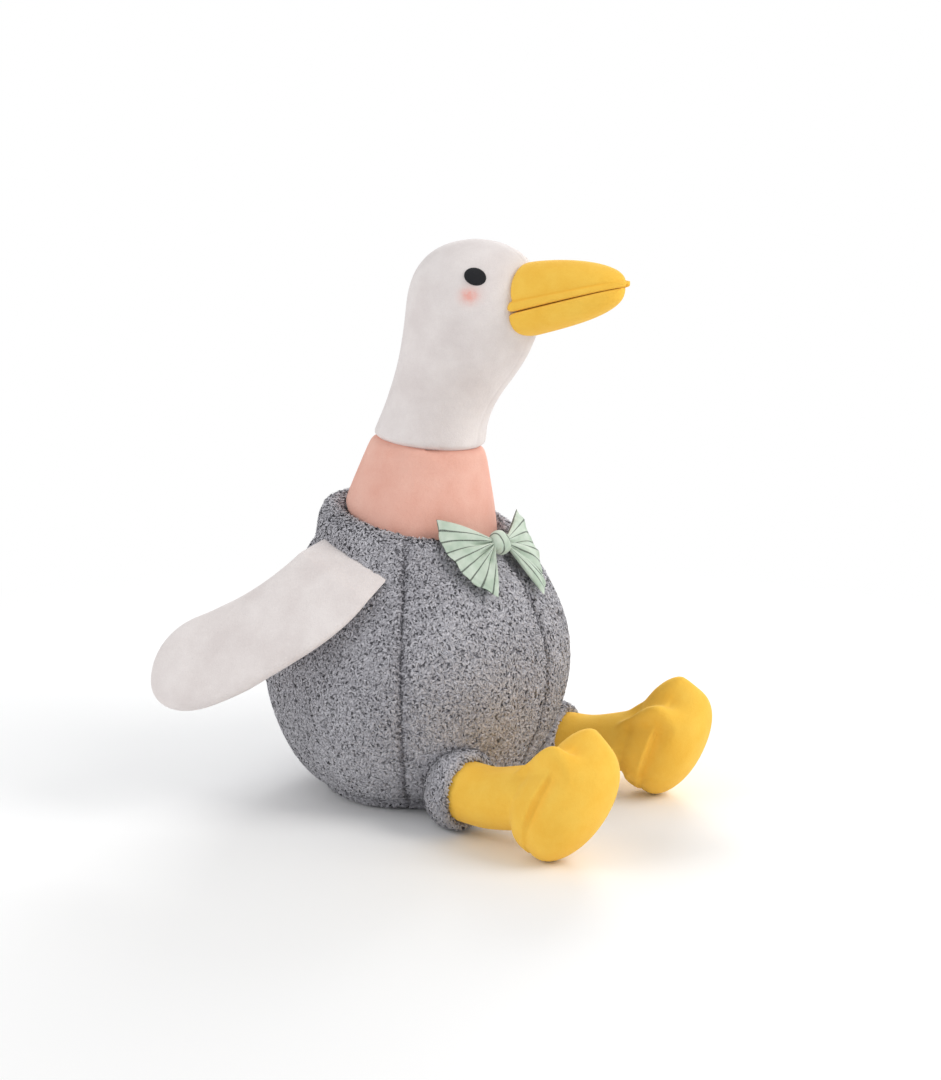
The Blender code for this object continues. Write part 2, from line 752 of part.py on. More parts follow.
def make_thigh(name, side, fleece):
    mouth = thigh_mouth(side)
    forward = leg_direction(side)
    sideways = Vector((-forward.y, forward.x, 0.0))
    up = Vector((0.0, 0.0, 1.0))
    inner = Vector((side * THIGH_INNER_ACROSS, THIGH_INNER_FORWARD, mouth.z))
    ring = around(22)

    def spoke(angle):
        return sideways * math.cos(angle) + up * math.sin(angle)

    def seat(angle, reach):
        start = mouth + spoke(angle) * THIGH_MOUTH_RADIUS * reach
        end = inner + spoke(angle) * THIGH_INNER_RADIUS * reach
        return reach_body(start, end - start, THIGH_SEAT_GAP)

    rings = [[seat(angle, reach) for angle in ring] for reach in (0.2, 0.45, 0.7, 1.0)]
    for share in (0.3, 0.65, 0.92):
        row = []
        for angle in ring:
            edge = mouth + spoke(angle) * THIGH_MOUTH_RADIUS
            swell = THIGH_SWELL * math.sin(math.pi * share)
            row.append(mix(seat(angle, 1.0), edge, share) + spoke(angle) * swell)
        rings.append(row)
    socket_radius = LEG_RADIUS + SEAT_GAP
    lip = 0.5 * (THIGH_MOUTH_RADIUS + socket_radius)
    for radius, reach in (
        (THIGH_MOUTH_RADIUS - 0.0012, 0.0),
        (lip, 0.0010),
        (socket_radius, 0.0),
        (socket_radius, -THIGH_SOCKET_DEPTH),
    ):
        rings.append([mouth + forward * reach + spoke(angle) * radius for angle in ring])
    return make_closed(name, rings, fleece, 60.0)


def foot_lobes(angle):
    """Three toes: how much each direction of the foot's outline stands out."""
    total = MIDDLE_TOE_SHARE * math.exp(-((angle / MIDDLE_TOE_WIDTH) ** 2))
    for toe_turn in (-TOE_TURN, TOE_TURN):
        total += math.exp(-(((angle - toe_turn) / TOE_WIDTH) ** 2))
    return total


def leg_ring(along, ring):
    """One level of the leg, seen from its end: a round tube that swells into the foot."""
    foot_centre = LEG_LENGTH + 0.5 * FOOT_THICKNESS
    thickness = FOOT_BACK_THICKNESS if along < foot_centre else FOOT_THICKNESS
    share = (along - foot_centre) / thickness
    swell = superellipse(share, FOOT_FULLNESS) if abs(share) < 1.0 else 0.0
    ankle_start = ANKLE_START * LEG_LENGTH
    grow = min(max((along - ankle_start) / (foot_centre - ankle_start), 0.0), 1.0)
    grow = grow * grow * (3.0 - 2.0 * grow)
    tube = LEG_RADIUS if along < foot_centre else 0.0
    points = []
    for angle in ring:
        up = math.cos(angle)
        side = math.sin(angle)
        half_long = max(FOOT_HALF_LENGTH * swell, 1e-6)
        half_wide = max(FOOT_HALF_WIDTH * swell, 1e-6)
        foot = 1.0 / math.hypot(up / half_long, side / half_wide)
        signed = (angle + math.pi) % math.tau - math.pi
        toe_window = math.exp(-(((along - foot_centre) / TOE_REACH) ** 2))
        foot += TOE_LENGTH * toe_window * (foot_lobes(signed) - TOE_VALLEY)
        fillet = ANKLE_FILLET * math.exp(-abs(tube - foot) / ANKLE_BLEND) * tube / LEG_RADIUS
        radius = max(tube, foot) + fillet
        height = radius * up + grow * (FOOT_HALF_LENGTH - LEG_RADIUS - HEEL_DROP)
        lean = math.tan(FOOT_LEAN) * height * grow
        points.append(Vector((radius * side, -(along + lean), height)))
    return points


def leg_rings(side):
    """The whole leg, turned as it lies, with its middle line starting at the origin."""
    ring = around(LEG_COLUMNS)
    foot_end = LEG_LENGTH + 1.5 * FOOT_THICKNESS
    splay = RIGHT_SPLAY if side < 0 else LEFT_SPLAY
    roll = RIGHT_ROLL if side < 0 else LEFT_ROLL
    turned = Matrix.Rotation(side * splay, 3, "Z") @ Matrix.Rotation(-side * roll, 3, "Y")
    rings = [[turned @ (point * 0.9) for point in leg_ring(0.0, ring)]]
    for share in LEG_SHARES:
        rings.append([turned @ point for point in leg_ring(foot_end * share, ring)])
    return rings


def leg_height(side):
    """Height of the leg's middle line when its heel rests on the floor."""
    return -min(point.z for ring in leg_rings(side) for point in ring)


def make_leg(name, side, cloth):
    start = thigh_mouth(side) - leg_direction(side) * (THIGH_SOCKET_DEPTH - SEAT_GAP)
    rings = [[start + point for point in ring] for ring in leg_rings(side)]
    return make_closed(name, rings, cloth, 60.0)


# Bow


def dressed_clearance(point):
    """How far a point lies outside the cover, the hem or the neck band at its height, level."""
    over_collar = point.z - collar_plane(point.y)
    if over_collar < 0.0:
        return body_clearance(point)
    forward, half_width, half_depth = head_oval(point.z)
    turn = math.atan2(point.x / half_width, (forward - point.y) / half_depth)
    oval = math.hypot(half_width * math.sin(turn), half_depth * math.cos(turn))
    rise = abs(over_collar - SEAM_GAP - HEM_HALF_TALL) / HEM_HALF_TALL
    padding = 0.0
    if rise < 1.0:
        sine = rise ** (1.0 / HEM_RISE_POWER)
        reach = math.sqrt(1.0 - sine * sine) ** HEM_REACH_POWER
        padding = SEAT_GAP + HEM_THICKNESS * 0.5 * (1.0 + reach)
    return math.hypot(point.x, point.y - forward) - oval - padding


def push_out(points, direction):
    """How far a group of points must move along a direction to clear the dressed goose."""
    moved = 0.0
    while min(dressed_clearance(point + direction * moved) for point in points) < SEAT_GAP:
        moved += 0.0002
    return moved


def bow_directions():
    """The bow's own directions: across to the goose's left, up and outward."""
    outward = Vector((math.sin(BOW_TURN), -math.cos(BOW_TURN), 0.0))
    across = Vector((math.cos(BOW_TURN), math.sin(BOW_TURN), 0.0))
    up = Vector((0.0, 0.0, 1.0))
    facing = outward * math.cos(BOW_PITCH) + up * math.sin(BOW_PITCH)
    rise = up * math.cos(BOW_PITCH) - outward * math.sin(BOW_PITCH)
    roll = Matrix.Rotation(BOW_ROLL, 3, facing)
    return roll @ across, roll @ rise, facing


def knot_rings(centre):
    across, rise, facing = bow_directions()
    rings = []
    for latitude in steps(-1.0, 1.0, 8):
        level = 0.98 * latitude
        girth = superellipse(level, 3.0)
        row = []
        for angle in around(16):
            out = math.copysign(abs(math.cos(angle)) ** 0.8, math.cos(angle))
            high = math.copysign(abs(math.sin(angle)) ** 0.8, math.sin(angle))
            side_step = across * KNOT_HALF_WIDTH * level
            round_step = facing * KNOT_HALF_DEPTH * out + rise * KNOT_HALF_TALL * high
            row.append(centre + side_step + round_step * girth)
        rings.append(row)
    return rings


def knot_centre():
    """The knot rests against the front of the hem."""
    facing = bow_directions()[2]
    seat = hem_point(BOW_TURN, BOW_SEAT_RISE)
    corners = [point for ring in knot_rings(seat) for point in ring]
    return seat + facing * push_out(corners, facing)


def make_bow_half(name, side, cloth):
    """A pleated fan: pinched at the knot, spread at its outer edge, lying on the collar."""
    centre = knot_centre()
    across, rise, facing = bow_directions()
    pinch = KNOT_HALF_WIDTH + SEAM_GAP
    half = 0.5 * BOW_THICKNESS
    fan = RIGHT_FAN_SPREAD if side < 0 else LEFT_FAN_SPREAD
    droop = -RIGHT_FAN_DROOP if side < 0 else 0.0

    def place(angle, reach):
        """A point on the middle of the cloth, and how far its pleat stands out."""
        spread = droop + fan * angle
        out = BOW_LENGTH * reach
        level = pinch + out * math.cos(spread)
        high = (out + 0.6 * pinch) * math.sin(spread)
        back = level * level * BOW_CURL
        point = centre + across * side * level + rise * high - facing * back
        wave = 0.5 - 0.5 * math.cos(math.tau * PLEAT_COUNT * (0.5 + 0.5 * angle))
        pleat = PLEAT_DEPTH * math.sin(math.pi * min(1.0, 0.35 + 0.6 * reach)) * wave
        point += facing * push_out([point - facing * half], facing)
        return point + facing * pleat

    angles = steps(-1.0, 1.0, 15)
    rings = []
    for reach in (0.0, 0.15, 0.32, 0.5, 0.7, 0.88, 1.0):
        middle = [place(angle, reach) for angle in angles]
        front = [point + facing * half for point in middle]
        back = [point - facing * half for point in reversed(middle)]
        rings.append(front + back)
    return make_closed(name, rings, cloth, 60.0, "open strip", "open strip")


def make_knot(cloth):
    return make_closed("bow_knot", knot_rings(knot_centre()), cloth)


def main():
    clear_scene()
    fleece = make_material("grey fleece", (0.30, 0.29, 0.32), 0.95, 0.3)
    velvet = make_material("white velvet", (0.80, 0.76, 0.74), 0.9, 0.2)
    pink = make_material("pink velvet", (0.82, 0.42, 0.33), 0.9, 0.2)
    yellow = make_material("yellow velvet", (0.87, 0.47, 0.07), 0.85, 0.2)
    thread = make_material("black thread", (0.02, 0.02, 0.025), 0.8)
    stripe = make_material("mint striped cotton", (0.55, 0.62, 0.52), 0.9)
    fibre = make_material("white fibre filling", (0.85, 0.85, 0.83), 1.0)

    make_body(fleece, fibre)
    make_head(velvet, pink, fibre)
    make_hem(fleece)
    for layer in ("upper", "lip", "lower"):
        make_beak_layer(layer, yellow)
    for side, word in ((-1, "right"), (1, "left")):
        make_eye(f"eye_{word}", side, thread)
        make_wing(f"wing_{word}", side, velvet)
        make_thigh(f"thigh_{word}", side, fleece)
        make_leg(f"leg_{word}", side, yellow)
        make_bow_half(f"bow_{word}", side, stripe)
    make_knot(stripe)


main()
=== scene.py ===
# %% [markdown]
# # A plush goose, dressed in Blender
#
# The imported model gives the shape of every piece: a fleece body, a white head and neck, flat wings,
# yellow legs, a beak and a bow. This lesson puts cloth on it. Each piece is made again as soft cloth
# in the same place and given a pile that can be seen, and the larger bags are filled by a short
# cloth simulation.

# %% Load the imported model
import math

import bmesh
import bpy
import numpy as np
from mathutils import Matrix, Vector
from mathutils.bvhtree import BVHTree


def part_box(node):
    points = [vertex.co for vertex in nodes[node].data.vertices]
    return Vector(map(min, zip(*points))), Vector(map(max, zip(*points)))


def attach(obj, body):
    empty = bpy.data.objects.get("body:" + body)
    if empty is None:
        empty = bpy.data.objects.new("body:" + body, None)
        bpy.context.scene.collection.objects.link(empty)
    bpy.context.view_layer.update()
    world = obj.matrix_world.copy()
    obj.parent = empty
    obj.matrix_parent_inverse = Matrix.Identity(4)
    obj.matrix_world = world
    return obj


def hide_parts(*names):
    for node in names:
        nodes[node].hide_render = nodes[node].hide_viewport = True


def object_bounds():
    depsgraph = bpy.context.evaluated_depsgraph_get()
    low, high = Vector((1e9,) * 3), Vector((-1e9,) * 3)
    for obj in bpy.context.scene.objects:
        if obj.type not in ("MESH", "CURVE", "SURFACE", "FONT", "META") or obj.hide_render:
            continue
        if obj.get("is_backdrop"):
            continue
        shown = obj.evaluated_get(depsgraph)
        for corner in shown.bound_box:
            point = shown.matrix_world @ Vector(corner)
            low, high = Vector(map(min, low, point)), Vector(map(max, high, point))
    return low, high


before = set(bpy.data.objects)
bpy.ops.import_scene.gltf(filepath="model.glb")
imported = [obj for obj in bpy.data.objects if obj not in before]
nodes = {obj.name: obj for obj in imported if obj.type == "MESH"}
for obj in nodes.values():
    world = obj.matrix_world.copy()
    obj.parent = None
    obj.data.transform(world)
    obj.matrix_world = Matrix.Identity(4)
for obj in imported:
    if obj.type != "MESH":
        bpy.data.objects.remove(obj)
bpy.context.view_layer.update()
scene = bpy.context.scene

# %% [markdown]
# ## The camera
#
# A photograph fixes the camera before anything else: where it stands, how far it is and how long its
# lens is. The goose looks along -Y and the camera stands in front of it to its right, at the height
# of its head and looking slightly down. Setting this first lets every later step be judged.

# %% Place the camera
camera_data = bpy.data.cameras.new("camera")
camera_data.lens = 53.0
camera_data.sensor_width = 36.0
camera = bpy.data.objects.new("camera", camera_data)
camera.location = (-0.8601, -0.6023, 0.37)
camera.rotation_euler = (math.radians(79.16), 0.0, math.radians(-57.06))
scene.collection.objects.link(camera)
scene.camera = camera
scene.view_settings.view_transform = "Standard"
print("camera stands at", tuple(camera.location))

# %% [markdown]
# ## Light and floor
#
# A soft toy is lit softly: the whole room is bright, one wide lamp stands in front, and two weaker
# ones behind light the edges of the body. The room looks white to the camera alone, and so does the
# floor away from the toy, so the background is pale without any extra light on the toy.

# %% Light the room
world = bpy.data.worlds.new("bright room")
scene.world = world
world.use_nodes = True
room = world.node_tree
room.nodes.clear()
room_light = room.nodes.new("ShaderNodeBackground")
room_light.inputs["Color"].default_value = (0.98, 0.99, 1.0, 1.0)
room_light.inputs["Strength"].default_value = 0.62
room_view = room.nodes.new("ShaderNodeBackground")
room_view.inputs["Color"].default_value = (1.0, 1.0, 1.0, 1.0)
room_view.inputs["Strength"].default_value = 1.0
ray_kind = room.nodes.new("ShaderNodeLightPath")
room_choice = room.nodes.new("ShaderNodeMixShader")
room_end = room.nodes.new("ShaderNodeOutputWorld")
room.links.new(ray_kind.outputs["Is Camera Ray"], room_choice.inputs["Fac"])
room.links.new(room_light.outputs[0], room_choice.inputs[1])
room.links.new(room_view.outputs[0], room_choice.inputs[2])
room.links.new(room_choice.outputs[0], room_end.inputs["Surface"])
print("room light", room_light.inputs["Strength"].default_value)

# %% Add three wide lamps
def add_lamp(name, place, target, size, power, colour=(1.0, 1.0, 1.0)):
    """A square lamp at a place, turned to a target."""
    data = bpy.data.lights.new(name, "AREA")
    data.shape = "SQUARE"
    data.size = size
    data.energy = power
    data.color = colour
    lamp = bpy.data.objects.new(name, data)
    lamp.location = place
    direction = Vector(target) - Vector(place)
    lamp.rotation_euler = direction.to_track_quat("-Z", "Y").to_euler()
    scene.collection.objects.link(lamp)
    return lamp


add_lamp("key lamp", (0.25, -1.5, 1.25), (0.0, -0.05, 0.15), 0.9, 15.0, (1.0, 0.98, 0.95))
add_lamp("edge lamp", (1.3, 0.35, 0.8), (0.0, -0.05, 0.15), 0.8, 12.0)
add_lamp("left lamp", (-1.2, 0.9, 1.0), (0.0, 0.0, 0.15), 0.9, 7.0)

# %% Lay the floor
def new_material(name):
    """A material with its Principled shader and its node tree."""
    material = bpy.data.materials.new(name)
    material.use_nodes = True
    return material, material.node_tree, material.node_tree.nodes["Principled BSDF"]


floor_material, floor_tree, floor_shader = new_material("pale floor")
floor_shader.inputs["Base Color"].default_value = (0.93, 0.93, 0.93, 1.0)
floor_shader.inputs["Roughness"].default_value = 0.9
floor_shader.inputs["Specular IOR Level"].default_value = 0.0
floor_nodes = floor_tree.nodes
floor_place = floor_nodes.new("ShaderNodeTexCoord")
floor_distance = floor_nodes.new("ShaderNodeVectorMath")
floor_distance.operation = "LENGTH"
floor_fade = floor_nodes.new("ShaderNodeMapRange")
floor_fade.interpolation_type = "SMOOTHSTEP"
floor_fade.inputs["From Min"].default_value = 0.22
floor_fade.inputs["From Max"].default_value = 0.75
floor_ray = floor_nodes.new("ShaderNodeLightPath")
floor_share = floor_nodes.new("ShaderNodeMath")
floor_share.operation = "MULTIPLY"
floor_white = floor_nodes.new("ShaderNodeEmission")
floor_choice = floor_nodes.new("ShaderNodeMixShader")
for giver, taker in (
    (floor_place.outputs["Object"], floor_distance.inputs[0]),
    (floor_distance.outputs["Value"], floor_fade.inputs["Value"]),
    (floor_fade.outputs["Result"], floor_share.inputs[0]),
    (floor_ray.outputs["Is Camera Ray"], floor_share.inputs[1]),
    (floor_share.outputs[0], floor_choice.inputs["Fac"]),
    (floor_shader.outputs[0], floor_choice.inputs[1]),
    (floor_white.outputs[0], floor_choice.inputs[2]),
    (floor_choice.outputs[0], floor_nodes["Material Output"].inputs["Surface"]),
):
    floor_tree.links.new(giver, taker)
bpy.ops.mesh.primitive_plane_add(size=14.0, location=(0.0, 0.0, -0.0004))
floor = bpy.context.object
floor.name = "floor"
floor.data.materials.append(floor_material)
floor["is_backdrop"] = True
print("floor laid")

# %% [markdown]
# ## Reading the model
#
# Each cloth piece is laid on the model's own surface. A ray sent from outside finds that surface at
# any place, whatever the number of facets below it, so a fine and even grid can be laid over a
# coarse model. That is better than subdividing the model's mesh, whose corners would show.

# %% Helpers that read the model and make cloth
def mesh_tree(*meshes):
    """A search tree over the faces of some meshes."""
    points = []
    faces = []
    for mesh in meshes:
        start = len(points)
        points += [corner.co.copy() for corner in mesh.vertices]
        faces += [[start + number for number in face.vertices] for face in mesh.polygons]
    return BVHTree.FromPolygons(points, faces)


def tree_of(*names):
    """The same for pieces of the model."""
    return mesh_tree(*[nodes[name].data for name in names])


def level_hit(tree, centre, turn, reach=0.3):
    """The outside of a piece, seen level from a side, as a distance from a centre."""
    outward = Vector((math.sin(turn), -math.cos(turn), 0.0))
    hit = tree.ray_cast(centre + outward * reach, -outward)
    return None if hit[0] is None else (hit[0] - centre).dot(outward)


def smooth_step(low, high, value):
    share = np.clip((value - low) / (high - low), 0.0, 1.0)
    return share * share * (3.0 - 2.0 * share)


def make_rings(name, rings, first_cap=True, last_cap=True):
    """A mesh from closed rings of points, with a middle point at each capped end."""
    count = len(rings[0])
    points = [tuple(point) for ring in rings for point in ring]
    faces = []
    for row in range(len(rings) - 1):
        for number in range(count):
            after = (number + 1) % count
            low = row * count
            high = low + count
            faces.append((low + number, low + after, high + after, high + number))
    for row, wanted in ((0, first_cap), (len(rings) - 1, last_cap)):
        if wanted:
            middle = np.mean(np.array([tuple(point) for point in rings[row]]), axis=0)
            points.append(tuple(middle))
            for number in range(count):
                faces.append((row * count + number, row * count + (number + 1) % count, len(points) - 1))
    mesh = bpy.data.meshes.new(name)
    mesh.from_pydata(points, [], faces)
    builder = bmesh.new()
    builder.from_mesh(mesh)
    bmesh.ops.recalc_face_normals(builder, faces=builder.faces)
    builder.to_mesh(mesh)
    builder.free()
    mesh.shade_smooth()
    piece = bpy.data.objects.new(name, mesh)
    scene.collection.objects.link(piece)
    return piece


def places(mesh):
    """The corners of a mesh as rows of x, y, z."""
    flat = np.empty(len(mesh.vertices) * 3)
    mesh.vertices.foreach_get("co", flat)
    return flat.reshape(-1, 3)


def normals(mesh):
    flat = np.empty(len(mesh.vertices) * 3)
    mesh.vertices.foreach_get("normal", flat)
    return flat.reshape(-1, 3)


def set_places(mesh, rows):
    mesh.vertices.foreach_set("co", np.ascontiguousarray(rows).ravel())
    mesh.update()


def set_value(mesh, name, values):
    """Keeps one number for each corner, which a material can read by name."""
    layer = mesh.attributes.get(name) or mesh.attributes.new(name, "FLOAT", "POINT")
    layer.data.foreach_set("value", np.ascontiguousarray(values, dtype=np.float32))


def refine(piece):
    """Adds one level of subdivision and keeps the result."""
    modifier = piece.modifiers.new("smooth", "SUBSURF")
    modifier.levels = 1
    modifier.render_levels = 1
    graph = bpy.context.evaluated_depsgraph_get()
    finer = bpy.data.meshes.new_from_object(piece.evaluated_get(graph))
    piece.modifiers.clear()
    old = piece.data
    piece.data = finer
    bpy.data.meshes.remove(old)
    finer.shade_smooth()


print("helpers ready")

# %% [markdown]
# ## Filling a bag
#
# A sewn bag takes its shape from the filling that presses on it from inside. Blender's cloth does
# the same with its pressure: the cloth swells between the seams, which are held. A cap on how far a
# point may move keeps the bag the size of the real one.

# %% A helper that fills a bag
FILLING_FRAMES = 20


def fill_bag(piece, held, pressure, cap, growth=0.0):
    """Lets a closed bag swell. Held is one number per corner, 1 where a seam holds the cloth."""
    mesh = piece.data
    before = places(mesh)
    group = piece.vertex_groups.new(name="held")
    for number in np.nonzero(held > 0.01)[0]:
        group.add([int(number)], float(held[number]), "REPLACE")
    cloth = piece.modifiers.new("filling", "CLOTH")
    settings = cloth.settings
    settings.quality = 6
    settings.mass = 0.2
    settings.tension_stiffness = 12.0
    settings.compression_stiffness = 12.0
    settings.shear_stiffness = 6.0
    settings.bending_stiffness = 0.4
    settings.use_pressure = True
    settings.uniform_pressure_force = pressure
    settings.vertex_group_mass = "held"
    settings.shrink_min = -growth
    settings.effector_weights.gravity = 0.0
    cloth.point_cache.frame_start = 1
    cloth.point_cache.frame_end = FILLING_FRAMES
    for number in range(1, FILLING_FRAMES + 1):
        scene.frame_set(number)
    graph = bpy.context.evaluated_depsgraph_get()
    swollen = piece.evaluated_get(graph).to_mesh()
    after = places(swollen)
    piece.evaluated_get(graph).to_mesh_clear()
    piece.modifiers.clear()
    piece.vertex_groups.clear()
    scene.frame_set(1)
    move = after - before
    length = np.linalg.norm(move, axis=1)
    allowed = np.minimum(length, cap) / np.maximum(length, 1e-9)
    set_places(mesh, before + move * allowed[:, None])
    return float(length.max())


print("bag filling ready")

# %% [markdown]
# ## Finishes
#
# Two effects are used by more than one material, so each is a node group with named sockets: a
# short pile that catches light in soft patches, and the grain of a curly fleece. Both paint the shade
# of a seam's groove as a dark line where the mesh says there is one. A group gives out only a colour,
# a height and a roughness. The shader stays in the material.

# %% A helper for building groups
def new_group(name, inputs, outputs):
    """A shader node group. Inputs are (name, kind, value), outputs are (name, kind)."""
    group = bpy.data.node_groups.new(name, "ShaderNodeTree")
    for label, kind, value in inputs:
        socket = group.interface.new_socket(label, in_out="INPUT", socket_type="NodeSocket" + kind)
        socket.default_value = value
    for label, kind in outputs:
        group.interface.new_socket(label, in_out="OUTPUT", socket_type="NodeSocket" + kind)
    start = group.nodes.new("NodeGroupInput")
    end = group.nodes.new("NodeGroupOutput")
    return group, start, end


def add_noise(tree, vector, scale, detail=3.0, roughness=0.5):
    noise = tree.nodes.new("ShaderNodeTexNoise")
    noise.inputs["Detail"].default_value = detail
    noise.inputs["Roughness"].default_value = roughness
    if isinstance(scale, (int, float)):
        noise.inputs["Scale"].default_value = scale
    else:
        tree.links.new(scale, noise.inputs["Scale"])
    tree.links.new(vector, noise.inputs["Vector"])
    return noise.outputs["Fac"]


def add_range(tree, value, low, high, to_low=0.0, to_high=1.0):
    """Maps a value from one range to another, held inside it."""
    step = tree.nodes.new("ShaderNodeMapRange")
    step.inputs["From Min"].default_value = low
    step.inputs["From Max"].default_value = high
    step.inputs["To Min"].default_value = to_low
    step.inputs["To Max"].default_value = to_high
    tree.links.new(value, step.inputs["Value"])
    return step.outputs["Result"]


def add_math(tree, kind, first, second):
    step = tree.nodes.new("ShaderNodeMath")
    step.operation = kind
    for place, value in ((0, first), (1, second)):
        if isinstance(value, (int, float)):
            step.inputs[place].default_value = value
        else:
            tree.links.new(value, step.inputs[place])
    return step.outputs[0]


def add_mix(tree, share, first, second):
    """A colour between two colours."""
    step = tree.nodes.new("ShaderNodeMix")
    step.data_type = "RGBA"
    for socket, value in ((step.inputs[0], share), (step.inputs[6], first), (step.inputs[7], second)):
        if isinstance(value, (int, float, tuple)):
            socket.default_value = value
        else:
            tree.links.new(value, socket)
    return step.outputs[2]


def linear(red, green, blue):
    """A colour from the usual 0 to 255 numbers."""
    def channel(value):
        share = value / 255.0
        return share / 12.92 if share <= 0.04045 else ((share + 0.055) / 1.055) ** 2.4

    return (channel(red), channel(green), channel(blue), 1.0)


print("group helpers ready")

# %% Short pile, the finish of velvet
short_pile, start, end = new_group(
    "short pile",
    [("Colour", "Color", (0.8, 0.8, 0.8, 1.0)), ("Shade", "Color", (0.6, 0.6, 0.6, 1.0)),
     ("Patch Size", "Float", 45.0), ("Seam", "Float", 0.0)],
    [("Colour", "Color"), ("Height", "Float"), ("Roughness", "Float")],
)
place = short_pile.nodes.new("ShaderNodeTexCoord").outputs["Object"]
patches = add_noise(short_pile, place, start.outputs["Patch Size"], 4.0, 0.6)
nap = add_noise(short_pile, place, 1500.0, 2.0, 0.7)
tufts = add_noise(short_pile, place, 480.0, 3.0, 0.6)
patch_share = add_range(short_pile, patches, 0.32, 0.68, 0.0, 0.55)
nap_share = add_range(short_pile, nap, 0.3, 0.7, -0.12, 0.16)
share = add_math(short_pile, "ADD", patch_share, nap_share)
# Painted shade: the seam value darkens the pile toward Shade along a seam's groove.
seam_shade_share = add_math(short_pile, "MULTIPLY", start.outputs["Seam"], 0.9)
share = add_math(short_pile, "MAXIMUM", share, seam_shade_share)
pile_colour = add_mix(short_pile, share, start.outputs["Colour"], start.outputs["Shade"])
coarse = add_math(short_pile, "MULTIPLY", tufts, 0.7)
height = add_math(short_pile, "ADD", coarse, add_math(short_pile, "MULTIPLY", nap, 0.5))
short_pile.links.new(pile_colour, end.inputs["Colour"])
short_pile.links.new(height, end.inputs["Height"])
short_pile.links.new(add_range(short_pile, patches, 0.3, 0.7, 0.82, 0.98), end.inputs["Roughness"])
print("group:", short_pile.name, "with", len(short_pile.nodes), "nodes")

# %% Curly grain, the finish of fleece
curly_grain, start, end = new_group(
    "curly grain",
    [("Colour", "Color", (0.4, 0.4, 0.4, 1.0)), ("Shade", "Color", (0.2, 0.2, 0.2, 1.0)),
     ("Tip", "Float", 1.0), ("Tone And Groove Shade", "Float", 0.5), ("Seam", "Float", 0.0)],
    [("Colour", "Color"), ("Height", "Float"), ("Roughness", "Float")],
)
place = curly_grain.nodes.new("ShaderNodeTexCoord").outputs["Object"]
patches = add_noise(curly_grain, place, 28.0, 4.0, 0.6)
grain = add_noise(curly_grain, place, 650.0, 3.0, 0.6)
share = add_range(curly_grain, patches, 0.3, 0.7, 0.30, 0.0)
share = add_math(curly_grain, "ADD", share, add_range(curly_grain, grain, 0.35, 0.65, 0.28, -0.05))
tone_and_groove_shade_share = add_range(curly_grain, start.outputs["Tone And Groove Shade"], -0.5, 1.0, 0.55, -0.2)
share = add_math(curly_grain, "ADD", share, tone_and_groove_shade_share)
# Painted shade: the root of each lock is darkened toward Shade and its tip is left light.
root_shade_share = add_range(curly_grain, start.outputs["Tip"], 0.0, 0.9, 0.55, 0.0)
share = add_math(curly_grain, "ADD", share, root_shade_share)
# Painted shade: the seam value darkens the fleece toward Shade along a seam's groove.
share = add_math(curly_grain, "MAXIMUM", share, start.outputs["Seam"])
share = add_range(curly_grain, share, 0.0, 1.0, 0.0, 1.0)
fleece_colour = add_mix(curly_grain, share, start.outputs["Colour"], start.outputs["Shade"])
curly_grain.links.new(fleece_colour, end.inputs["Colour"])
curly_grain.links.new(grain, end.inputs["Height"])
curly_grain.links.new(add_range(curly_grain, patches, 0.3, 0.7, 0.86, 0.99), end.inputs["Roughness"])
print("group:", curly_grain.name, "with", len(curly_grain.nodes), "nodes")

# %% A helper that puts a group into a material
def finish_with(name, group, values, bump, reads, sheen=0.3, sheen_tint=(1.0, 1.0, 1.0, 1.0)):
    """A cloth material. Reads pairs a socket of the group with the name of a corner value."""
    material, tree, shader = new_material(name)
    effect = tree.nodes.new("ShaderNodeGroup")
    effect.node_tree = group
    for label, value in values.items():
        effect.inputs[label].default_value = value
    for label, value_name in reads.items():
        reader = tree.nodes.new("ShaderNodeAttribute")
        reader.attribute_name = value_name
        tree.links.new(reader.outputs["Fac"], effect.inputs[label])
    relief = tree.nodes.new("ShaderNodeBump")
    relief.inputs["Strength"].default_value = 1.0
    relief.inputs["Distance"].default_value = bump
    tree.links.new(effect.outputs["Colour"], shader.inputs["Base Color"])
    tree.links.new(effect.outputs["Height"], relief.inputs["Height"])
    tree.links.new(effect.outputs["Roughness"], shader.inputs["Roughness"])
    tree.links.new(relief.outputs["Normal"], shader.inputs["Normal"])
    shader.inputs["Sheen Weight"].default_value = sheen
    shader.inputs["Sheen Roughness"].default_value = 0.4
    shader.inputs["Sheen Tint"].default_value = sheen_tint
    shader.inputs["Specular IOR Level"].default_value = 0.12
    return material


# Painted shade: the cloth below the locks has darker colours than the locks, and Tip 0.5 gives it half the
# painted shade of a lock's root.
fleece_cloth = finish_with(
    "grey fleece cloth", curly_grain,
    {"Colour": linear(192, 191, 197), "Shade": linear(128, 126, 133), "Tip": 0.5, "Tone And Groove Shade": 0.5},
    0.0012, {"Seam": "seam"}, 0.1,
)
fleece_curls = finish_with(
    "grey fleece curls", curly_grain,
    {"Colour": linear(204, 203, 209), "Shade": linear(136, 134, 141)},
    0.0004, {"Tip": "tip", "Tone And Groove Shade": "tone_and_groove_shade"}, 0.25,
)
white_pile = finish_with(
    "white short pile", short_pile,
    {"Colour": linear(234, 227, 225), "Shade": linear(213, 203, 201), "Patch Size": 42.0},
    0.00035, {"Seam": "seam"}, 0.35,
)
pink_pile = finish_with(
    "pink short pile", short_pile,
    {"Colour": linear(238, 189, 173), "Shade": linear(223, 157, 138), "Patch Size": 38.0},
    0.00035, {"Seam": "seam"}, 0.3, linear(255, 225, 214),
)
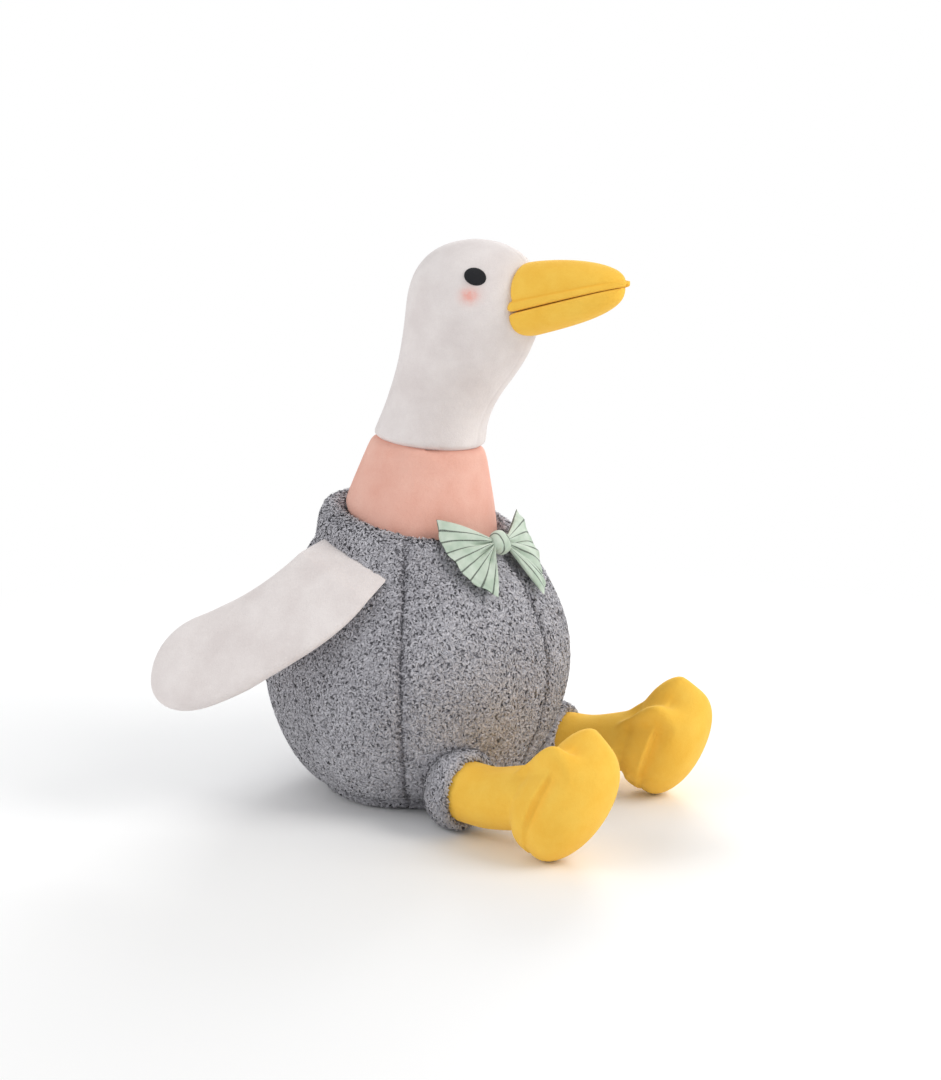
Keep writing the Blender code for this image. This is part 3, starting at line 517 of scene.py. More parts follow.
yellow_pile = finish_with(
    "yellow short pile", short_pile,
    {"Colour": linear(251, 204, 88), "Shade": linear(243, 184, 64), "Patch Size": 50.0},
    0.00035, {"Seam": "seam"}, 0.25, linear(255, 232, 170),
)
print("materials:", [item.name for item in bpy.data.materials])

# %% [markdown]
# ## The body bag
#
# The real body is cut from panels of grey fleece that meet in upright seams: one in front, one down
# each side and one behind, with a round base below and a rolled hem round the neck. Here it is one
# even grid of 180 columns, so that a seam falls exactly on a column and can be drawn in later.

# %% Measure the body's outline
BODY_COLUMNS = 180
COLLAR_HEIGHT = 0.173
COLLAR_SLOPE = math.tan(math.radians(13.5))
COLLAR_RADIUS = 0.069
HEM_MIDDLE = 0.0003 + 0.0068
BASE_SEAM_HEIGHT = 0.0092
BODY_PANELS = ("body_front_right", "body_front_left", "body_back_right", "body_back_left", "body_base")
cover_tree = tree_of(*BODY_PANELS)
hem_tree = tree_of("collar_hem")
band_tree = tree_of("neck_band")
column_turns = [math.tau * number / BODY_COLUMNS for number in range(BODY_COLUMNS)]


def collar_at(turn, radius):
    """Height of the sloping plane in which the fleece cover ends."""
    return COLLAR_HEIGHT - COLLAR_SLOPE * radius * math.cos(turn)


def collar_of(forward):
    """The same height from how far back a place is."""
    return COLLAR_HEIGHT + COLLAR_SLOPE * forward


def hit_near(tree, height, turn):
    """A level reading taken just beside a seam's gap rather than in it."""
    centre = Vector((0.0, 0.0, height))
    for shift in (0.012, -0.012, 0.03, 0.0):
        distance = level_hit(tree, centre, turn + shift)
        if distance is not None and distance > 0.03:
            return distance
    return None


def body_outline(turn):
    """Distance and height along the body's outline, and where the base seam is in it."""
    top = collar_at(turn, COLLAR_RADIUS)
    roll = hit_near(hem_tree, collar_at(turn, 0.062) + HEM_MIDDLE, turn) - 0.0057
    outline = [(0.0, 0.0), (0.015, 0.0), (0.032, 0.0), (0.047, 0.0)]
    for height in (0.0012, 0.0030, 0.0050, 0.0070, 0.0084):
        outline.append((hit_near(cover_tree, height, turn), height))
    seam = len(outline)
    for height in np.linspace(0.0098, top - 0.004, 34):
        outline.append((hit_near(cover_tree, float(height), turn), float(height)))
    middle = collar_at(turn, roll) + HEM_MIDDLE
    outer = hit_near(hem_tree, middle + 0.001, turn)
    outline.append((outer, middle + 0.001))
    middle += 0.0032 + 0.0024 * math.cos(turn)
    outline.append((outer - 0.0006, middle + 0.0030))
    inner = hit_near(band_tree, middle + 0.004, turn)
    outline.append((0.22 * inner + 0.78 * outer, middle + 0.0058))
    outline.append((0.50 * inner + 0.50 * outer, middle + 0.0068))
    outline.append((0.80 * inner + 0.20 * outer, middle + 0.0060))
    outline.append((inner + 0.0004, middle + 0.0035))
    outline.append((inner - 0.0012, middle - 0.0010))
    outline.append((inner - 0.0022, middle - 0.0060))
    return outline, seam


sample, _ = body_outline(math.radians(90.0))
print("outline points:", len(sample), "widest", round(max(row[0] for row in sample), 4))

# %% Lay the grid and make the bag
def spread(points, count):
    """The same line with evenly spaced points."""
    rows = np.array(points, float)
    steps = np.linalg.norm(np.diff(rows, axis=0), axis=1)
    along = np.concatenate([[0.0], np.cumsum(steps)])
    wanted = np.linspace(0.0, along[-1], count)
    return np.stack([np.interp(wanted, along, rows[:, axis]) for axis in range(rows.shape[1])], axis=1)


def body_column(turn):
    outline, seam = body_outline(turn)
    under = spread(outline[:seam], 20)
    side = spread(outline[seam - 1:], 66)
    return np.concatenate([under, side[1:]])


columns = np.stack([body_column(turn) for turn in column_turns])
for _ in range(6):
    columns[:, 22:-3] = 0.5 * columns[:, 22:-3] + 0.25 * (columns[:, 21:-4] + columns[:, 23:-2])
    around = 0.25 * (np.roll(columns, 1, 0) + np.roll(columns, -1, 0)) + 0.5 * columns
    columns[:, 8:] = around[:, 8:]
for _ in range(30):
    around = 0.25 * (np.roll(columns, 1, 0) + np.roll(columns, -1, 0)) + 0.5 * columns
    columns[:, -14:] = around[:, -14:]
body_rings = []
for row in range(1, columns.shape[1]):
    ring = []
    for number, turn in enumerate(column_turns):
        distance, height = columns[number, row]
        ring.append((distance * math.sin(turn), -distance * math.cos(turn), height))
    body_rings.append(ring)
body_bag = make_rings("body_bag", body_rings, True, False)
print("body bag:", len(body_bag.data.polygons), "faces")

# %% Fill it, carve the seams in and paint their shade
SEAM_TURNS = [math.radians(value) for value in (0.0, 60.0, 180.0, 300.0)]


def seam_distance(rows):
    """How far each point is from the nearest upright seam, in metres."""
    turn = np.arctan2(rows[:, 0], -rows[:, 1])
    radius = np.hypot(rows[:, 0], rows[:, 1])
    nearest = np.full(len(rows), 1.0)
    for seam_turn in SEAM_TURNS:
        apart = np.abs((turn - seam_turn + math.pi) % math.tau - math.pi)
        nearest = np.minimum(nearest, radius * apart)
    return nearest


rows = places(body_bag.data)
apart = seam_distance(rows)
over_collar = rows[:, 2] - collar_of(rows[:, 1])
held = np.maximum(np.exp(-((apart / 0.003) ** 2)) * (rows[:, 2] > 0.008), rows[:, 2] < 0.0006)
held = np.maximum(held, smooth_step(-0.004, 0.004, over_collar))
print("body filled, swell", round(fill_bag(body_bag, held, 3.0, 0.0016, 0.01), 4))
refine(body_bag)
rows = places(body_bag.data)
outward = normals(body_bag.data)
apart = seam_distance(rows)
over_collar = rows[:, 2] - collar_of(rows[:, 1])
upright = smooth_step(0.006, 0.012, rows[:, 2]) * (1.0 - smooth_step(0.004, 0.010, over_collar))
groove = np.exp(-((apart / 0.0020) ** 2)) * upright
beside_middle = np.hypot(rows[:, 0], rows[:, 1]) > 0.055
base_line = np.exp(-(((rows[:, 2] - BASE_SEAM_HEIGHT) / 0.0022) ** 2)) * beside_middle
depth = 0.0022 * groove + 0.0014 * base_line
set_places(body_bag.data, rows - outward * depth[:, None])
# Painted shade: a dark line along each upright seam's groove, and a fainter one along the base seam.
seam_shade_mask = np.maximum(np.exp(-((apart / 0.0007) ** 2)) * upright, base_line * 0.4)
set_value(body_bag.data, "seam", seam_shade_mask)
body_bag.data.materials.append(fleece_cloth)
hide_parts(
    "body_front_right", "body_front_left", "body_back_right", "body_back_left",
    "body_base", "collar_hem", "body_filling",
)
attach(body_bag, "root")
print("body bag:", len(body_bag.data.polygons), "faces after refining")

# %% [markdown]
# ## The curls
#
# Seen close, the fleece is a field of small bent locks: light at the tip, dark between them. Bump
# alone can't give that at the edge of the body, so each lock is a real blade of two faces, bent
# over and turned its own way. A blade carries two numbers for its colour: how near a corner is to
# the tip, which paints shade at the root of the lock, and how light the whole lock is, which also
# paints shade on the locks beside a seam.

# %% A helper that grows locks on a piece
def grow_locks(name, piece, count, seed, length, width, keep, comb=(0.0, 0.0, -1.0), wild=1.0):
    """Blades on a piece's surface. Keep says for each place how likely a lock is.

    Locks beside a seam of the body are short, because stitches pull their roots in, and darkened
    with painted shade, the shade of the seam's groove.
    """
    chance = np.random.default_rng(seed)
    mesh = piece.data
    mesh.calc_loop_triangles()
    corners = np.array([triangle.vertices[:] for triangle in mesh.loop_triangles])
    rows = places(mesh)
    outward = normals(mesh)
    first, second, third = (rows[corners[:, number]] for number in range(3))
    area = np.linalg.norm(np.cross(second - first, third - first), axis=1)
    chosen = chance.choice(len(corners), size=count, p=area / area.sum())
    one = chance.random((count, 1))
    two = chance.random((count, 1))
    flip = one + two > 1.0
    one = np.where(flip, 1.0 - one, one)
    two = np.where(flip, 1.0 - two, two)
    shares = (1.0 - one - two, one, two)
    root = sum(share * rows[corners[chosen, number]] for number, share in enumerate(shares))
    up = sum(share * outward[corners[chosen, number]] for number, share in enumerate(shares))
    up /= np.linalg.norm(up, axis=1, keepdims=True)
    stays = chance.random(count) < keep(root)
    root, up = root[stays], up[stays]
    count = len(root)
    lean = chance.normal(size=(count, 3)) * wild + np.array(comb)
    lean -= up * np.sum(lean * up, axis=1, keepdims=True)
    lean /= np.linalg.norm(lean, axis=1, keepdims=True)
    side = np.cross(up, lean)
    by_seam = np.exp(-((seam_distance(root) / 0.0028) ** 2))[:, None] * (piece is body_bag)
    long = length * (0.7 + 0.6 * chance.random((count, 1))) * (1.0 - 0.45 * by_seam)
    wide = width * (0.7 + 0.6 * chance.random((count, 1)))
    hook = chance.normal(size=(count, 1)) * 0.5
    middle = root + up * long * 0.42 + lean * long * 0.38
    tip = middle + up * long * 0.05 + lean * long * 0.5 + side * hook * long * 0.5
    blade = np.stack([
        root - side * wide * 0.4 - up * 0.0006, root + side * wide * 0.4 - up * 0.0006,
        middle - side * wide * 0.5, middle + side * wide * 0.5, tip,
    ], axis=1)
    blade[..., 2] = np.maximum(blade[..., 2], 0.0004)
    # Painted shade: locks beside a seam are darkened for the shade in the seam's groove; elsewhere the tone
    # differs at random.
    tone_and_groove_shade = np.repeat(chance.random(count) * (1.0 - by_seam[:, 0]) - 0.5 * by_seam[:, 0], 5)
    # Painted shade: 0 at the root, which the material darkens, and 1 at the light tip.
    near_tip = np.tile([0.0, 0.0, 0.75, 0.75, 1.0], count)
    lock_mesh = bpy.data.meshes.new(name)
    start = np.arange(count)[:, None] * 5
    quads = (start + np.array([[1, 0, 2, 3]])).tolist()
    ends = (start + np.array([[3, 2, 4]])).tolist()
    lock_mesh.from_pydata(blade.reshape(-1, 3).tolist(), [], quads + ends)
    set_value(lock_mesh, "tip", near_tip)
    set_value(lock_mesh, "tone_and_groove_shade", tone_and_groove_shade)
    lock_mesh.shade_smooth()
    blend = up + lean * 0.35
    bent = np.repeat(blend / np.linalg.norm(blend, axis=1, keepdims=True), 5, axis=0)
    lock_mesh.normals_split_custom_set_from_vertices(bent.tolist())
    locks = bpy.data.objects.new(name, lock_mesh)
    scene.collection.objects.link(locks)
    locks.data.materials.append(fleece_curls)
    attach(locks, "root")
    print(name, "locks", count, "faces", len(lock_mesh.polygons))
    return locks


# %% Grow the fleece of the body
def body_keep(side):
    def keep(rows):
        on_side = rows[:, 0] * side > 0.0
        clear = smooth_step(0.0003, 0.0016, seam_distance(rows))
        raised = rows[:, 2] - collar_of(rows[:, 1]) > 0.003
        against = np.zeros(len(rows), bool)
        for number in np.nonzero(raised)[0]:
            against[number] = band_tree.find_nearest(Vector(rows[number]))[3] < 0.0016
        flat = rows[:, 2] < 0.001
        return on_side * clear * ~against * ~flat

    return keep


for word, side in (("right", -1.0), ("left", 1.0)):
    seed = 11 if side < 0 else 12
    grow_locks(f"body_curls_{word}", body_bag, 118000, seed, 0.0038, 0.0016, body_keep(side))

# %% [markdown]
# ## The head and the neck band
#
# The head is a long upright bag that leans forward, and the pink band below it is a ring of the same
# cloth in another colour. Every level of both is an oval, so each ring of the grid is measured by
# rays to the middle of its own level. The two pieces meet in a seam, where each dips inward.

# %% Measure the levels of the head
head_tree = tree_of("head_right", "head_left", "neck_band")
HEAD_COLUMNS = 96
BAND_SLOPE = math.tan(math.radians(6.5))
BAND_HEIGHT = 0.238
BAND_FORWARD = -0.0115
CHEEK_HEIGHT = 0.322
SEAM_STEP = 0.0015
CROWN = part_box("head_right")[1].z


def level_centre(height):
    """The middle of a level from front to back, read beside the middle seam."""
    if height < 0.192:
        return Vector((0.0, -0.003 + (0.186 - height) * 0.109, height))
    aside = 0.0012
    ahead = head_tree.ray_cast(Vector((aside, -0.4, height)), Vector((0.0, 1.0, 0.0)))[0]
    behind = head_tree.ray_cast(Vector((aside, 0.4, height)), Vector((0.0, -1.0, 0.0)))[0]
    return Vector((0.0, 0.5 * (ahead.y + behind.y), height))


def band_top(forward):
    return BAND_HEIGHT + BAND_SLOPE * (forward - BAND_FORWARD)


def head_level(turn, height):
    """A point of the outer surface, the turn taken round the middle of its level."""
    centre = level_centre(height)
    for shift in (0.0, 0.02, -0.02, 0.05):
        distance = level_hit(head_tree, centre, turn + shift, 0.2)
        if distance is not None and distance > 0.0:
            break
    return centre + Vector((math.sin(turn), -math.cos(turn), 0.0)) * distance


def sloped_ring(plane):
    """A ring of the surface cut by a sloping plane."""
    ring = []
    for number in range(HEAD_COLUMNS):
        turn = math.tau * number / HEAD_COLUMNS
        height = plane(0.0)
        for _ in range(5):
            height = plane(head_level(turn, height).y)
        ring.append(head_level(turn, height))
    return ring


band_low = sloped_ring(lambda forward: collar_of(forward) + 0.001)
band_high = sloped_ring(lambda forward: band_top(forward) - SEAM_STEP)
band_high = [point + Vector((0.0, 0.0, SEAM_STEP)) for point in band_high]
for _ in range(4):
    band_high = [
        0.5 * point + 0.25 * (band_high[number - 1] + band_high[(number + 1) % HEAD_COLUMNS])
        for number, point in enumerate(band_high)
    ]
print("band from", round(min(p.z for p in band_low), 4), "to", round(max(p.z for p in band_high), 4))

# %% Make the neck band and the head cover
def rings_between(low, high, shares):
    """Rings of the surface between two rings, column by column."""
    rings = []
    for share in shares:
        ring = []
        for number, (foot, top) in enumerate(zip(low, high)):
            turn = math.tau * number / len(low)
            ring.append(head_level(turn, foot.z + (top.z - foot.z) * share))
        rings.append(ring)
    return rings


def tucked(ring, depth):
    """The same ring drawn in toward its middle, as cloth turned in at a seam."""
    middle = sum(ring, Vector()) / len(ring)
    return [point + (middle - point).normalized() * depth for point in ring]


band_rings = rings_between(band_low, band_high, np.linspace(0.0, 0.985, 20))
band_rings += [tucked(band_high, 0.0009), tucked(band_high, 0.0030)]
neck_band = make_rings("neck_band_cloth", band_rings, False, False)
cheek_ring = sloped_ring(lambda forward: CHEEK_HEIGHT)
head_rings = [tucked(band_high, 0.0030), tucked(band_high, 0.0009)]
head_rings += rings_between(band_high, cheek_ring, np.linspace(0.012, 1.0, 34))
for share in np.linspace(0.09, 0.66, 8):
    height = CHEEK_HEIGHT + (CROWN - CHEEK_HEIGHT) * float(share)
    turns = [math.tau * number / HEAD_COLUMNS for number in range(HEAD_COLUMNS)]
    head_rings.append([head_level(turn, height) for turn in turns])


def from_above(point):
    """The surface straight below a place over the crown, read beside the middle seam."""
    for aside in (0.0, 0.0007, -0.0007, 0.0014):
        start = Vector((point.x + aside, point.y + 0.1 * aside, 0.5))
        hit = head_tree.ray_cast(start, Vector((0.0, 0.0, -1.0)))[0]
        if hit is not None and hit.z > CROWN - 0.05:
            return Vector((point.x, point.y, hit.z))
    return point


shoulder = head_rings[-1]
crown_middle = sum(shoulder, Vector()) / HEAD_COLUMNS
for shrink in (0.93, 0.84, 0.74, 0.63, 0.51, 0.39, 0.27, 0.15, 0.06):
    head_rings.append([from_above(crown_middle + (point - crown_middle) * shrink) for point in shoulder])
head_cover = make_rings("head_cover", head_rings, False, True)
print("head cover:", len(head_cover.data.polygons), "neck band:", len(neck_band.data.polygons))

# %% Fill the head, carve the seams of head and band in and paint their shade
def smooth_bag(piece, rounds, share=0.5):
    """Evens out the facets that the rays found."""
    builder = bmesh.new()
    builder.from_mesh(piece.data)
    inner = [corner for corner in builder.verts if not corner.is_boundary]
    for _ in range(rounds):
        bmesh.ops.smooth_vert(
            builder, verts=inner, factor=share, use_axis_x=True, use_axis_y=True, use_axis_z=True,
        )
    builder.to_mesh(piece.data)
    builder.free()


def seam_height(rows):
    """How far each point is above the seam between the band and the head."""
    return rows[:, 2] - band_top(rows[:, 1])


smooth_bag(head_cover, 8)
smooth_bag(neck_band, 8)
for piece, slot_name, cloth in (
    (head_cover, "white_velvet", white_pile),
    (neck_band, "pink_velvet", pink_pile),
):
    rows = places(piece.data)
    over = seam_height(rows)
    held = np.exp(-((over / 0.003) ** 2))
    swell = fill_bag(piece, held, 2.0, 0.0012) if piece is head_cover else 0.0
    refine(piece)
    rows = places(piece.data)
    outward = rows - np.array([0.0, BAND_FORWARD, 0.0])
    outward[:, 2] = 0.0
    outward /= np.linalg.norm(outward, axis=1, keepdims=True)
    over = seam_height(rows)
    back_seam = np.exp(-((rows[:, 0] / 0.0012) ** 2)) * (piece is head_cover)
    depth = 0.0013 * np.exp(-((over / 0.0016) ** 2)) + 0.0005 * back_seam
    set_places(piece.data, rows - outward * depth[:, None])
    # Painted shade: a dark line in the groove of the seam between head and band, and a fainter one down the
    # back seam.
    set_value(piece.data, "seam", np.maximum(0.75 * np.exp(-((over / 0.0008) ** 2)), 0.25 * back_seam))
    piece.data.materials.append(cloth)
    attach(piece, "root")
    print(piece.name, "swell", round(swell, 4), "faces", len(piece.data.polygons))
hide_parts("head_right", "head_left", "head_filling")
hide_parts("neck_band")

# %% Paint the blush under each eye
rows = places(head_cover.data)
eye_places = {word: sum(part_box(f"eye_{word}"), Vector()) * 0.5 for word in ("right", "left")}
blush = np.zeros(len(rows))
for eye_place in eye_places.values():
    spot = eye_place + Vector((0.0, 0.0022, -0.0120))
    apart = np.sqrt(((rows[:, 1] - spot.y) / 0.0052) ** 2 + ((rows[:, 2] - spot.z) / 0.0046) ** 2)
    same_side = rows[:, 0] * spot.x > 0.0
    blush = np.maximum(blush, np.exp(-(apart**2)) * same_side)
set_value(head_cover.data, "blush", blush)
head_material = white_pile.copy()
head_material.name = "white short pile with blush"
head_nodes = head_material.node_tree
shader = head_nodes.nodes["Principled BSDF"]
blush_reader = head_nodes.nodes.new("ShaderNodeAttribute")
blush_reader.attribute_name = "blush"
head_place = head_nodes.nodes.new("ShaderNodeTexCoord").outputs["Object"]
speckle = add_range(head_nodes, add_noise(head_nodes, head_place, 420.0, 3.0, 0.6), 0.3, 0.7, 0.55, 1.0)
blush_share = add_math(head_nodes, "MULTIPLY", blush_reader.outputs["Fac"], speckle)
plain = shader.inputs["Base Color"].links[0].from_socket
blushed = add_mix(head_nodes, blush_share, plain, linear(240, 158, 142))
head_nodes.links.new(blushed, shader.inputs["Base Color"])
head_cover.data.materials.clear()
head_cover.data.materials.append(head_material)
print("blush below", [tuple(round(value, 3) for value in place) for place in eye_places.values()])

# %% [markdown]
# ## The stuffed pieces: beak, wings, cuffs and legs
#
# These are closed bags. A cuff is a copy of its solid, covered with an even net of small faces and
# smoothed. The wings, the legs and the beak are laid out ring by ring to the sizes of the model,
# because a net would rub out their toes, creases and thin edges. Wings and legs are then filled.

# %% Helpers that copy a solid as a soft bag and that finish a bag
def soft_copy(name, node_name, voxel, rounds):
    """A smooth closed copy of a solid, in small even faces."""
    builder = bmesh.new()
    builder.from_mesh(nodes[node_name].data)
    mesh = bpy.data.meshes.new(name)
    builder.to_mesh(mesh)
    builder.free()
    piece = bpy.data.objects.new(name, mesh)
    scene.collection.objects.link(piece)
    remesh = piece.modifiers.new("even", "REMESH")
    remesh.mode = "VOXEL"
    remesh.voxel_size = voxel
    graph = bpy.context.evaluated_depsgraph_get()
    even = bpy.data.meshes.new_from_object(piece.evaluated_get(graph))
    piece.modifiers.clear()
    piece.data = even
    smooth_bag(piece, rounds)
    even.materials.clear()
    even.shade_smooth()
    return piece


def settle(piece, material, node_names):
    """The last steps of each padded piece: its finish and its place in the model."""
    if not piece.data.attributes.get("seam"):
        set_value(piece.data, "seam", np.zeros(len(piece.data.vertices)))
    piece.data.materials.append(material)
    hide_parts(*node_names)
    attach(piece, "root")
    print(piece.name, "faces", len(piece.data.polygons))


# %% Measure the wing's curve
WING_LOW_END = (math.radians(66.0), 0.1605)
WING_HIGH_END = (math.radians(117.0), 0.178)
WING_FACE_TURN = math.radians(84.0)
WING_FACE_RISE = math.radians(38.0)
WING_START_DROP = math.radians(70.0)
WING_CURVE = math.radians(56.0)
WING_LENGTH = 0.150
WING_EDGES = 25
WING_ROOT = Vector((0.0701, 0.0023, 0.1665))


def rounded(share, fullness):
    """Height of a rounded end at a share of its length: 1 at the start, 0 at the end."""
    return max(0.0, 1.0 - abs(share) ** fullness) ** (1.0 / fullness)


def blend(low, high, share):
    return low + (high - low) * share


def sewn_place(side, across, deep=0.0):
    """A place on the body along the wing's sewn edge, from -1 low in front to 1 high behind."""
    share = 0.5 + 0.5 * across
    turn = side * blend(WING_LOW_END[0], WING_HIGH_END[0], share)
    height = blend(WING_LOW_END[1], WING_HIGH_END[1], share)
    reach = hit_near(cover_tree, height, turn) - deep
    return Vector((reach * math.sin(turn), -reach * math.cos(turn), height))


def wing_place(side, share, across, layer):
    """A point of the wing. Across runs from -1 at the lower edge to 1, layer is -1 or 1."""
    root = Vector((side * WING_ROOT.x, WING_ROOT.y, WING_ROOT.z))
    level = Vector((side * math.sin(WING_FACE_TURN), -math.cos(WING_FACE_TURN), 0.0))
    upward = Vector((0.0, 0.0, 1.0))
    face = level * math.cos(WING_FACE_RISE) + upward * math.sin(WING_FACE_RISE)
    backward = Vector((-side * level.y, abs(level.x), 0.0)).normalized()
    down = level * math.sin(WING_FACE_RISE) - upward * math.cos(WING_FACE_RISE)
    radius = WING_LENGTH / WING_CURVE
    angle = WING_START_DROP - WING_CURVE * share
    run = radius * (math.sin(WING_START_DROP) - math.sin(angle))
    fall = radius * (math.cos(angle) - math.cos(WING_START_DROP))
    centre = root + face * 0.008 + backward * run + down * fall
    cross = backward * math.sin(angle) - down * math.cos(angle)
    tip = max(0.0, (share - 0.74) / 0.26)
    half = blend(0.0270, 0.0330, min(share / 0.6, 1.0)) * rounded(tip, 2.2)
    half += 0.0095 * (1.0 - float(smooth_step(0.1, 0.55, share))) * max(0.0, -across)
    thickness = blend(0.006, 0.017, math.sin(0.5 * math.pi * min(share / 0.35, 1.0)))
    pad = rounded(across, 2.4) * rounded(tip, 2.6)
    return centre + cross * half * across + face * layer * 0.5 * thickness * pad


print("wing tip at", tuple(round(value, 3) for value in wing_place(-1.0, 1.0, 0.0, 1.0)))

# %% Make the wings
def wing_rings(side):
    """Rings round the wing, the first ones drawn from the body where it is sewn on."""
    edge = [-math.cos(math.pi * number / (WING_EDGES - 1)) for number in range(WING_EDGES)]
    loop = [(across, 1.0) for across in edge] + [(across, -1.0) for across in edge[-2:0:-1]]
    rings = []
    for share in (0.0, 0.3, 0.6, 0.85):
        ring = []
        for across, layer in loop:
            out = wing_place(side, 0.1, across, layer)
            sewn = sewn_place(side, across * 0.985, 0.0015)
            padding = out - wing_place(side, 0.1, across, 0.0)
            ring.append(blend(sewn, out, share) + padding * 0.4 * (1.0 - share))
        rings.append(ring)
    for share in np.linspace(0.0, 1.0, 60):
        along = 0.1 + 0.898 * (1.0 - (1.0 - share) ** 1.5)
        rings.append([wing_place(side, along, across, layer) for across, layer in loop])
    return rings


for word, side in (("right", -1.0), ("left", 1.0)):
    rings = wing_rings(side)
    wing = make_rings(f"wing_{word}_bag", rings)
    count = len(rings[0])
    number = np.arange(len(wing.data.vertices))
    column = number % count
    on_edge = ((column == 0) | (column == WING_EDGES - 1)) & (number < count * len(rings))
    held = np.where(number < count * 5, 1.0, on_edge * 1.0)
    # Painted shade: a faint dark line along the wing's edge seam.
    set_value(wing.data, "seam", on_edge * 0.35)
    swell = fill_bag(wing, held, 3.0, 0.0012)
    refine(wing)
    settle(wing, white_pile, [f"wing_{word}"])
    print("wing swell", round(swell, 4))

# %% Make the cuffs
HIP_SIDE = 0.062
HIP_FORWARD = -0.083
CUFF_HEIGHT = 0.028
CUFF_WIDENING = 0.34

for word, side in (("right", -1.0), ("left", 1.0)):
    cuff = soft_copy(f"cuff_{word}", f"thigh_{word}", 0.0024, 4)
    rows = places(cuff.data)
    widen = 1.0 + CUFF_WIDENING * smooth_step(-0.080, -0.052, rows[:, 1])
    rows[:, 0] = side * HIP_SIDE + (rows[:, 0] - side * HIP_SIDE) * widen
    rows[:, 2] = np.maximum(CUFF_HEIGHT + (rows[:, 2] - CUFF_HEIGHT) * widen, 0.0006)
    set_places(cuff.data, rows)
    settle(cuff, fleece_cloth, [f"thigh_{word}"])

    def cuff_keep(rows):
        radius = np.hypot(np.abs(rows[:, 0]) - HIP_SIDE, rows[:, 2] - CUFF_HEIGHT)
        front = rows[:, 1] < HIP_FORWARD + 0.0005
        hidden = (front & (radius < 0.0205)) | (rows[:, 2] < 0.0036)
        return np.where(hidden, 0.0, 1.0)

    seed = 21 if side < 0 else 22
    grow_locks(f"cuff_curls_{word}", cuff, 13000, seed, 0.0036, 0.0015, cuff_keep, (0.0, -0.5, -0.5))

# %% Measure the leg and its foot
LEG_RADIUS = 0.019
LEG_LENGTH = 0.058
FOOT_THICKNESS = 0.030
FOOT_BACK_THICKNESS = 0.017
TOE_BACK_THICKNESS = 0.027
FOOT_MIDDLE = LEG_LENGTH + 0.5 * FOOT_THICKNESS
FOOT_END = LEG_LENGTH + 1.5 * FOOT_THICKNESS
FOOT_HALF_LONG = 0.0405
FOOT_HALF_WIDE = 0.027
TOE_TURN = math.radians(40.0)


def toe_lobes(turn):
    """How far each direction of the foot's outline stands out, for its three toes."""
    lobes = 0.7 * np.exp(-((turn / math.radians(14.0)) ** 2))
    for toe_turn in (-TOE_TURN, TOE_TURN):
        lobes = lobes + np.exp(-(((turn - toe_turn) / math.radians(9.0)) ** 2))
    return lobes


def leg_level(along, turns):
    """One ring of the leg seen from its end: a round tube that swells into the foot."""
    share = (along - FOOT_MIDDLE) / (FOOT_BACK_THICKNESS if along < FOOT_MIDDLE else FOOT_THICKNESS)
    swell = rounded(share, 2.3) if abs(share) < 1.0 else 0.0
    grow = float(smooth_step(0.3 * LEG_LENGTH, FOOT_MIDDLE, along))
    tube = LEG_RADIUS * (1.0 + 0.20 * grow) if along < FOOT_MIDDLE else 0.0
    high, across = np.cos(turns), np.sin(turns)
    signed = (turns + math.pi) % math.tau - math.pi
    back = (along - FOOT_MIDDLE) / TOE_BACK_THICKNESS
    toe_swell = rounded(back, 2.3) if -1.0 < back < 0.0 else swell
    swell = np.maximum(swell + (toe_swell - swell) * np.minimum(toe_lobes(signed), 1.0), 1e-4)
    foot = 1.0 / np.hypot(high / (FOOT_HALF_LONG * swell), across / (FOOT_HALF_WIDE * swell))
    window = math.exp(-(((along - FOOT_MIDDLE + 0.005) / 0.012) ** 2))
    foot = foot + 0.0185 * window * (toe_lobes(signed) - 0.34)
    fillet = 0.0046 * np.exp(-np.abs(tube - foot) / 0.007) * tube / LEG_RADIUS
    radius = np.maximum(tube, foot) + fillet
    height = radius * high + grow * (FOOT_HALF_LONG - LEG_RADIUS - 0.011)
    lean = math.tan(math.radians(20.0)) * height * grow
    return np.stack([radius * across, -(along + lean), height], axis=1)


print("foot end", round(FOOT_END, 4), "toes at", round(math.degrees(TOE_TURN)), "degrees each side")

# %% Make the legs with their feet
turns = np.arange(96) * math.tau / 96
alongs = FOOT_END * (1.0 - (1.0 - np.linspace(0.0, 1.0, 84)) ** 1.35) * 0.9992
for word, side, splay, roll in (("right", -1.0, 8.0, 16.0), ("left", 1.0, 4.0, 3.0)):
    rolled = Matrix.Rotation(-side * math.radians(roll), 3, "Y")
    turned = Matrix.Rotation(side * math.radians(splay), 3, "Z") @ rolled
    levels = np.array([leg_level(float(along), turns) for along in alongs]) @ np.array(turned).T
    splay_turn = math.radians(splay)
    ahead = np.array([side * math.sin(splay_turn), -math.cos(splay_turn), 0.0])
    levels = levels - ahead * 0.0054 + np.array([side * HIP_SIDE, HIP_FORWARD, -levels[..., 2].min()])
    leg = make_rings(f"leg_{word}_bag", levels.tolist())
    smooth_bag(leg, 1)
    rows = places(leg.data)
    held = np.maximum(rows[:, 1] > -0.09, rows[:, 2] < 0.0015) * 1.0
    swell = fill_bag(leg, held, 3.0, 0.0008)
    refine(leg)
    rows = places(leg.data)
    rows[:, 2] = np.maximum(rows[:, 2], 0.0)
    set_places(leg.data, rows)
    settle(leg, yellow_pile, [f"leg_{word}"])
    print("leg swell", round(swell, 4))

# %% Measure the beak
BEAK_HALF_WIDTH = 0.0225
BEAK_LENGTH = 0.0580
MOUTH_HEIGHT = 0.3255
MOUTH_RISE = 0.0140
LIP_TALL = 0.0062
BEAK_DOME_HEIGHT = 0.0300
BEAK_BOTTOM_DEPTH = 0.0160
FACE_FORWARD = -0.0966


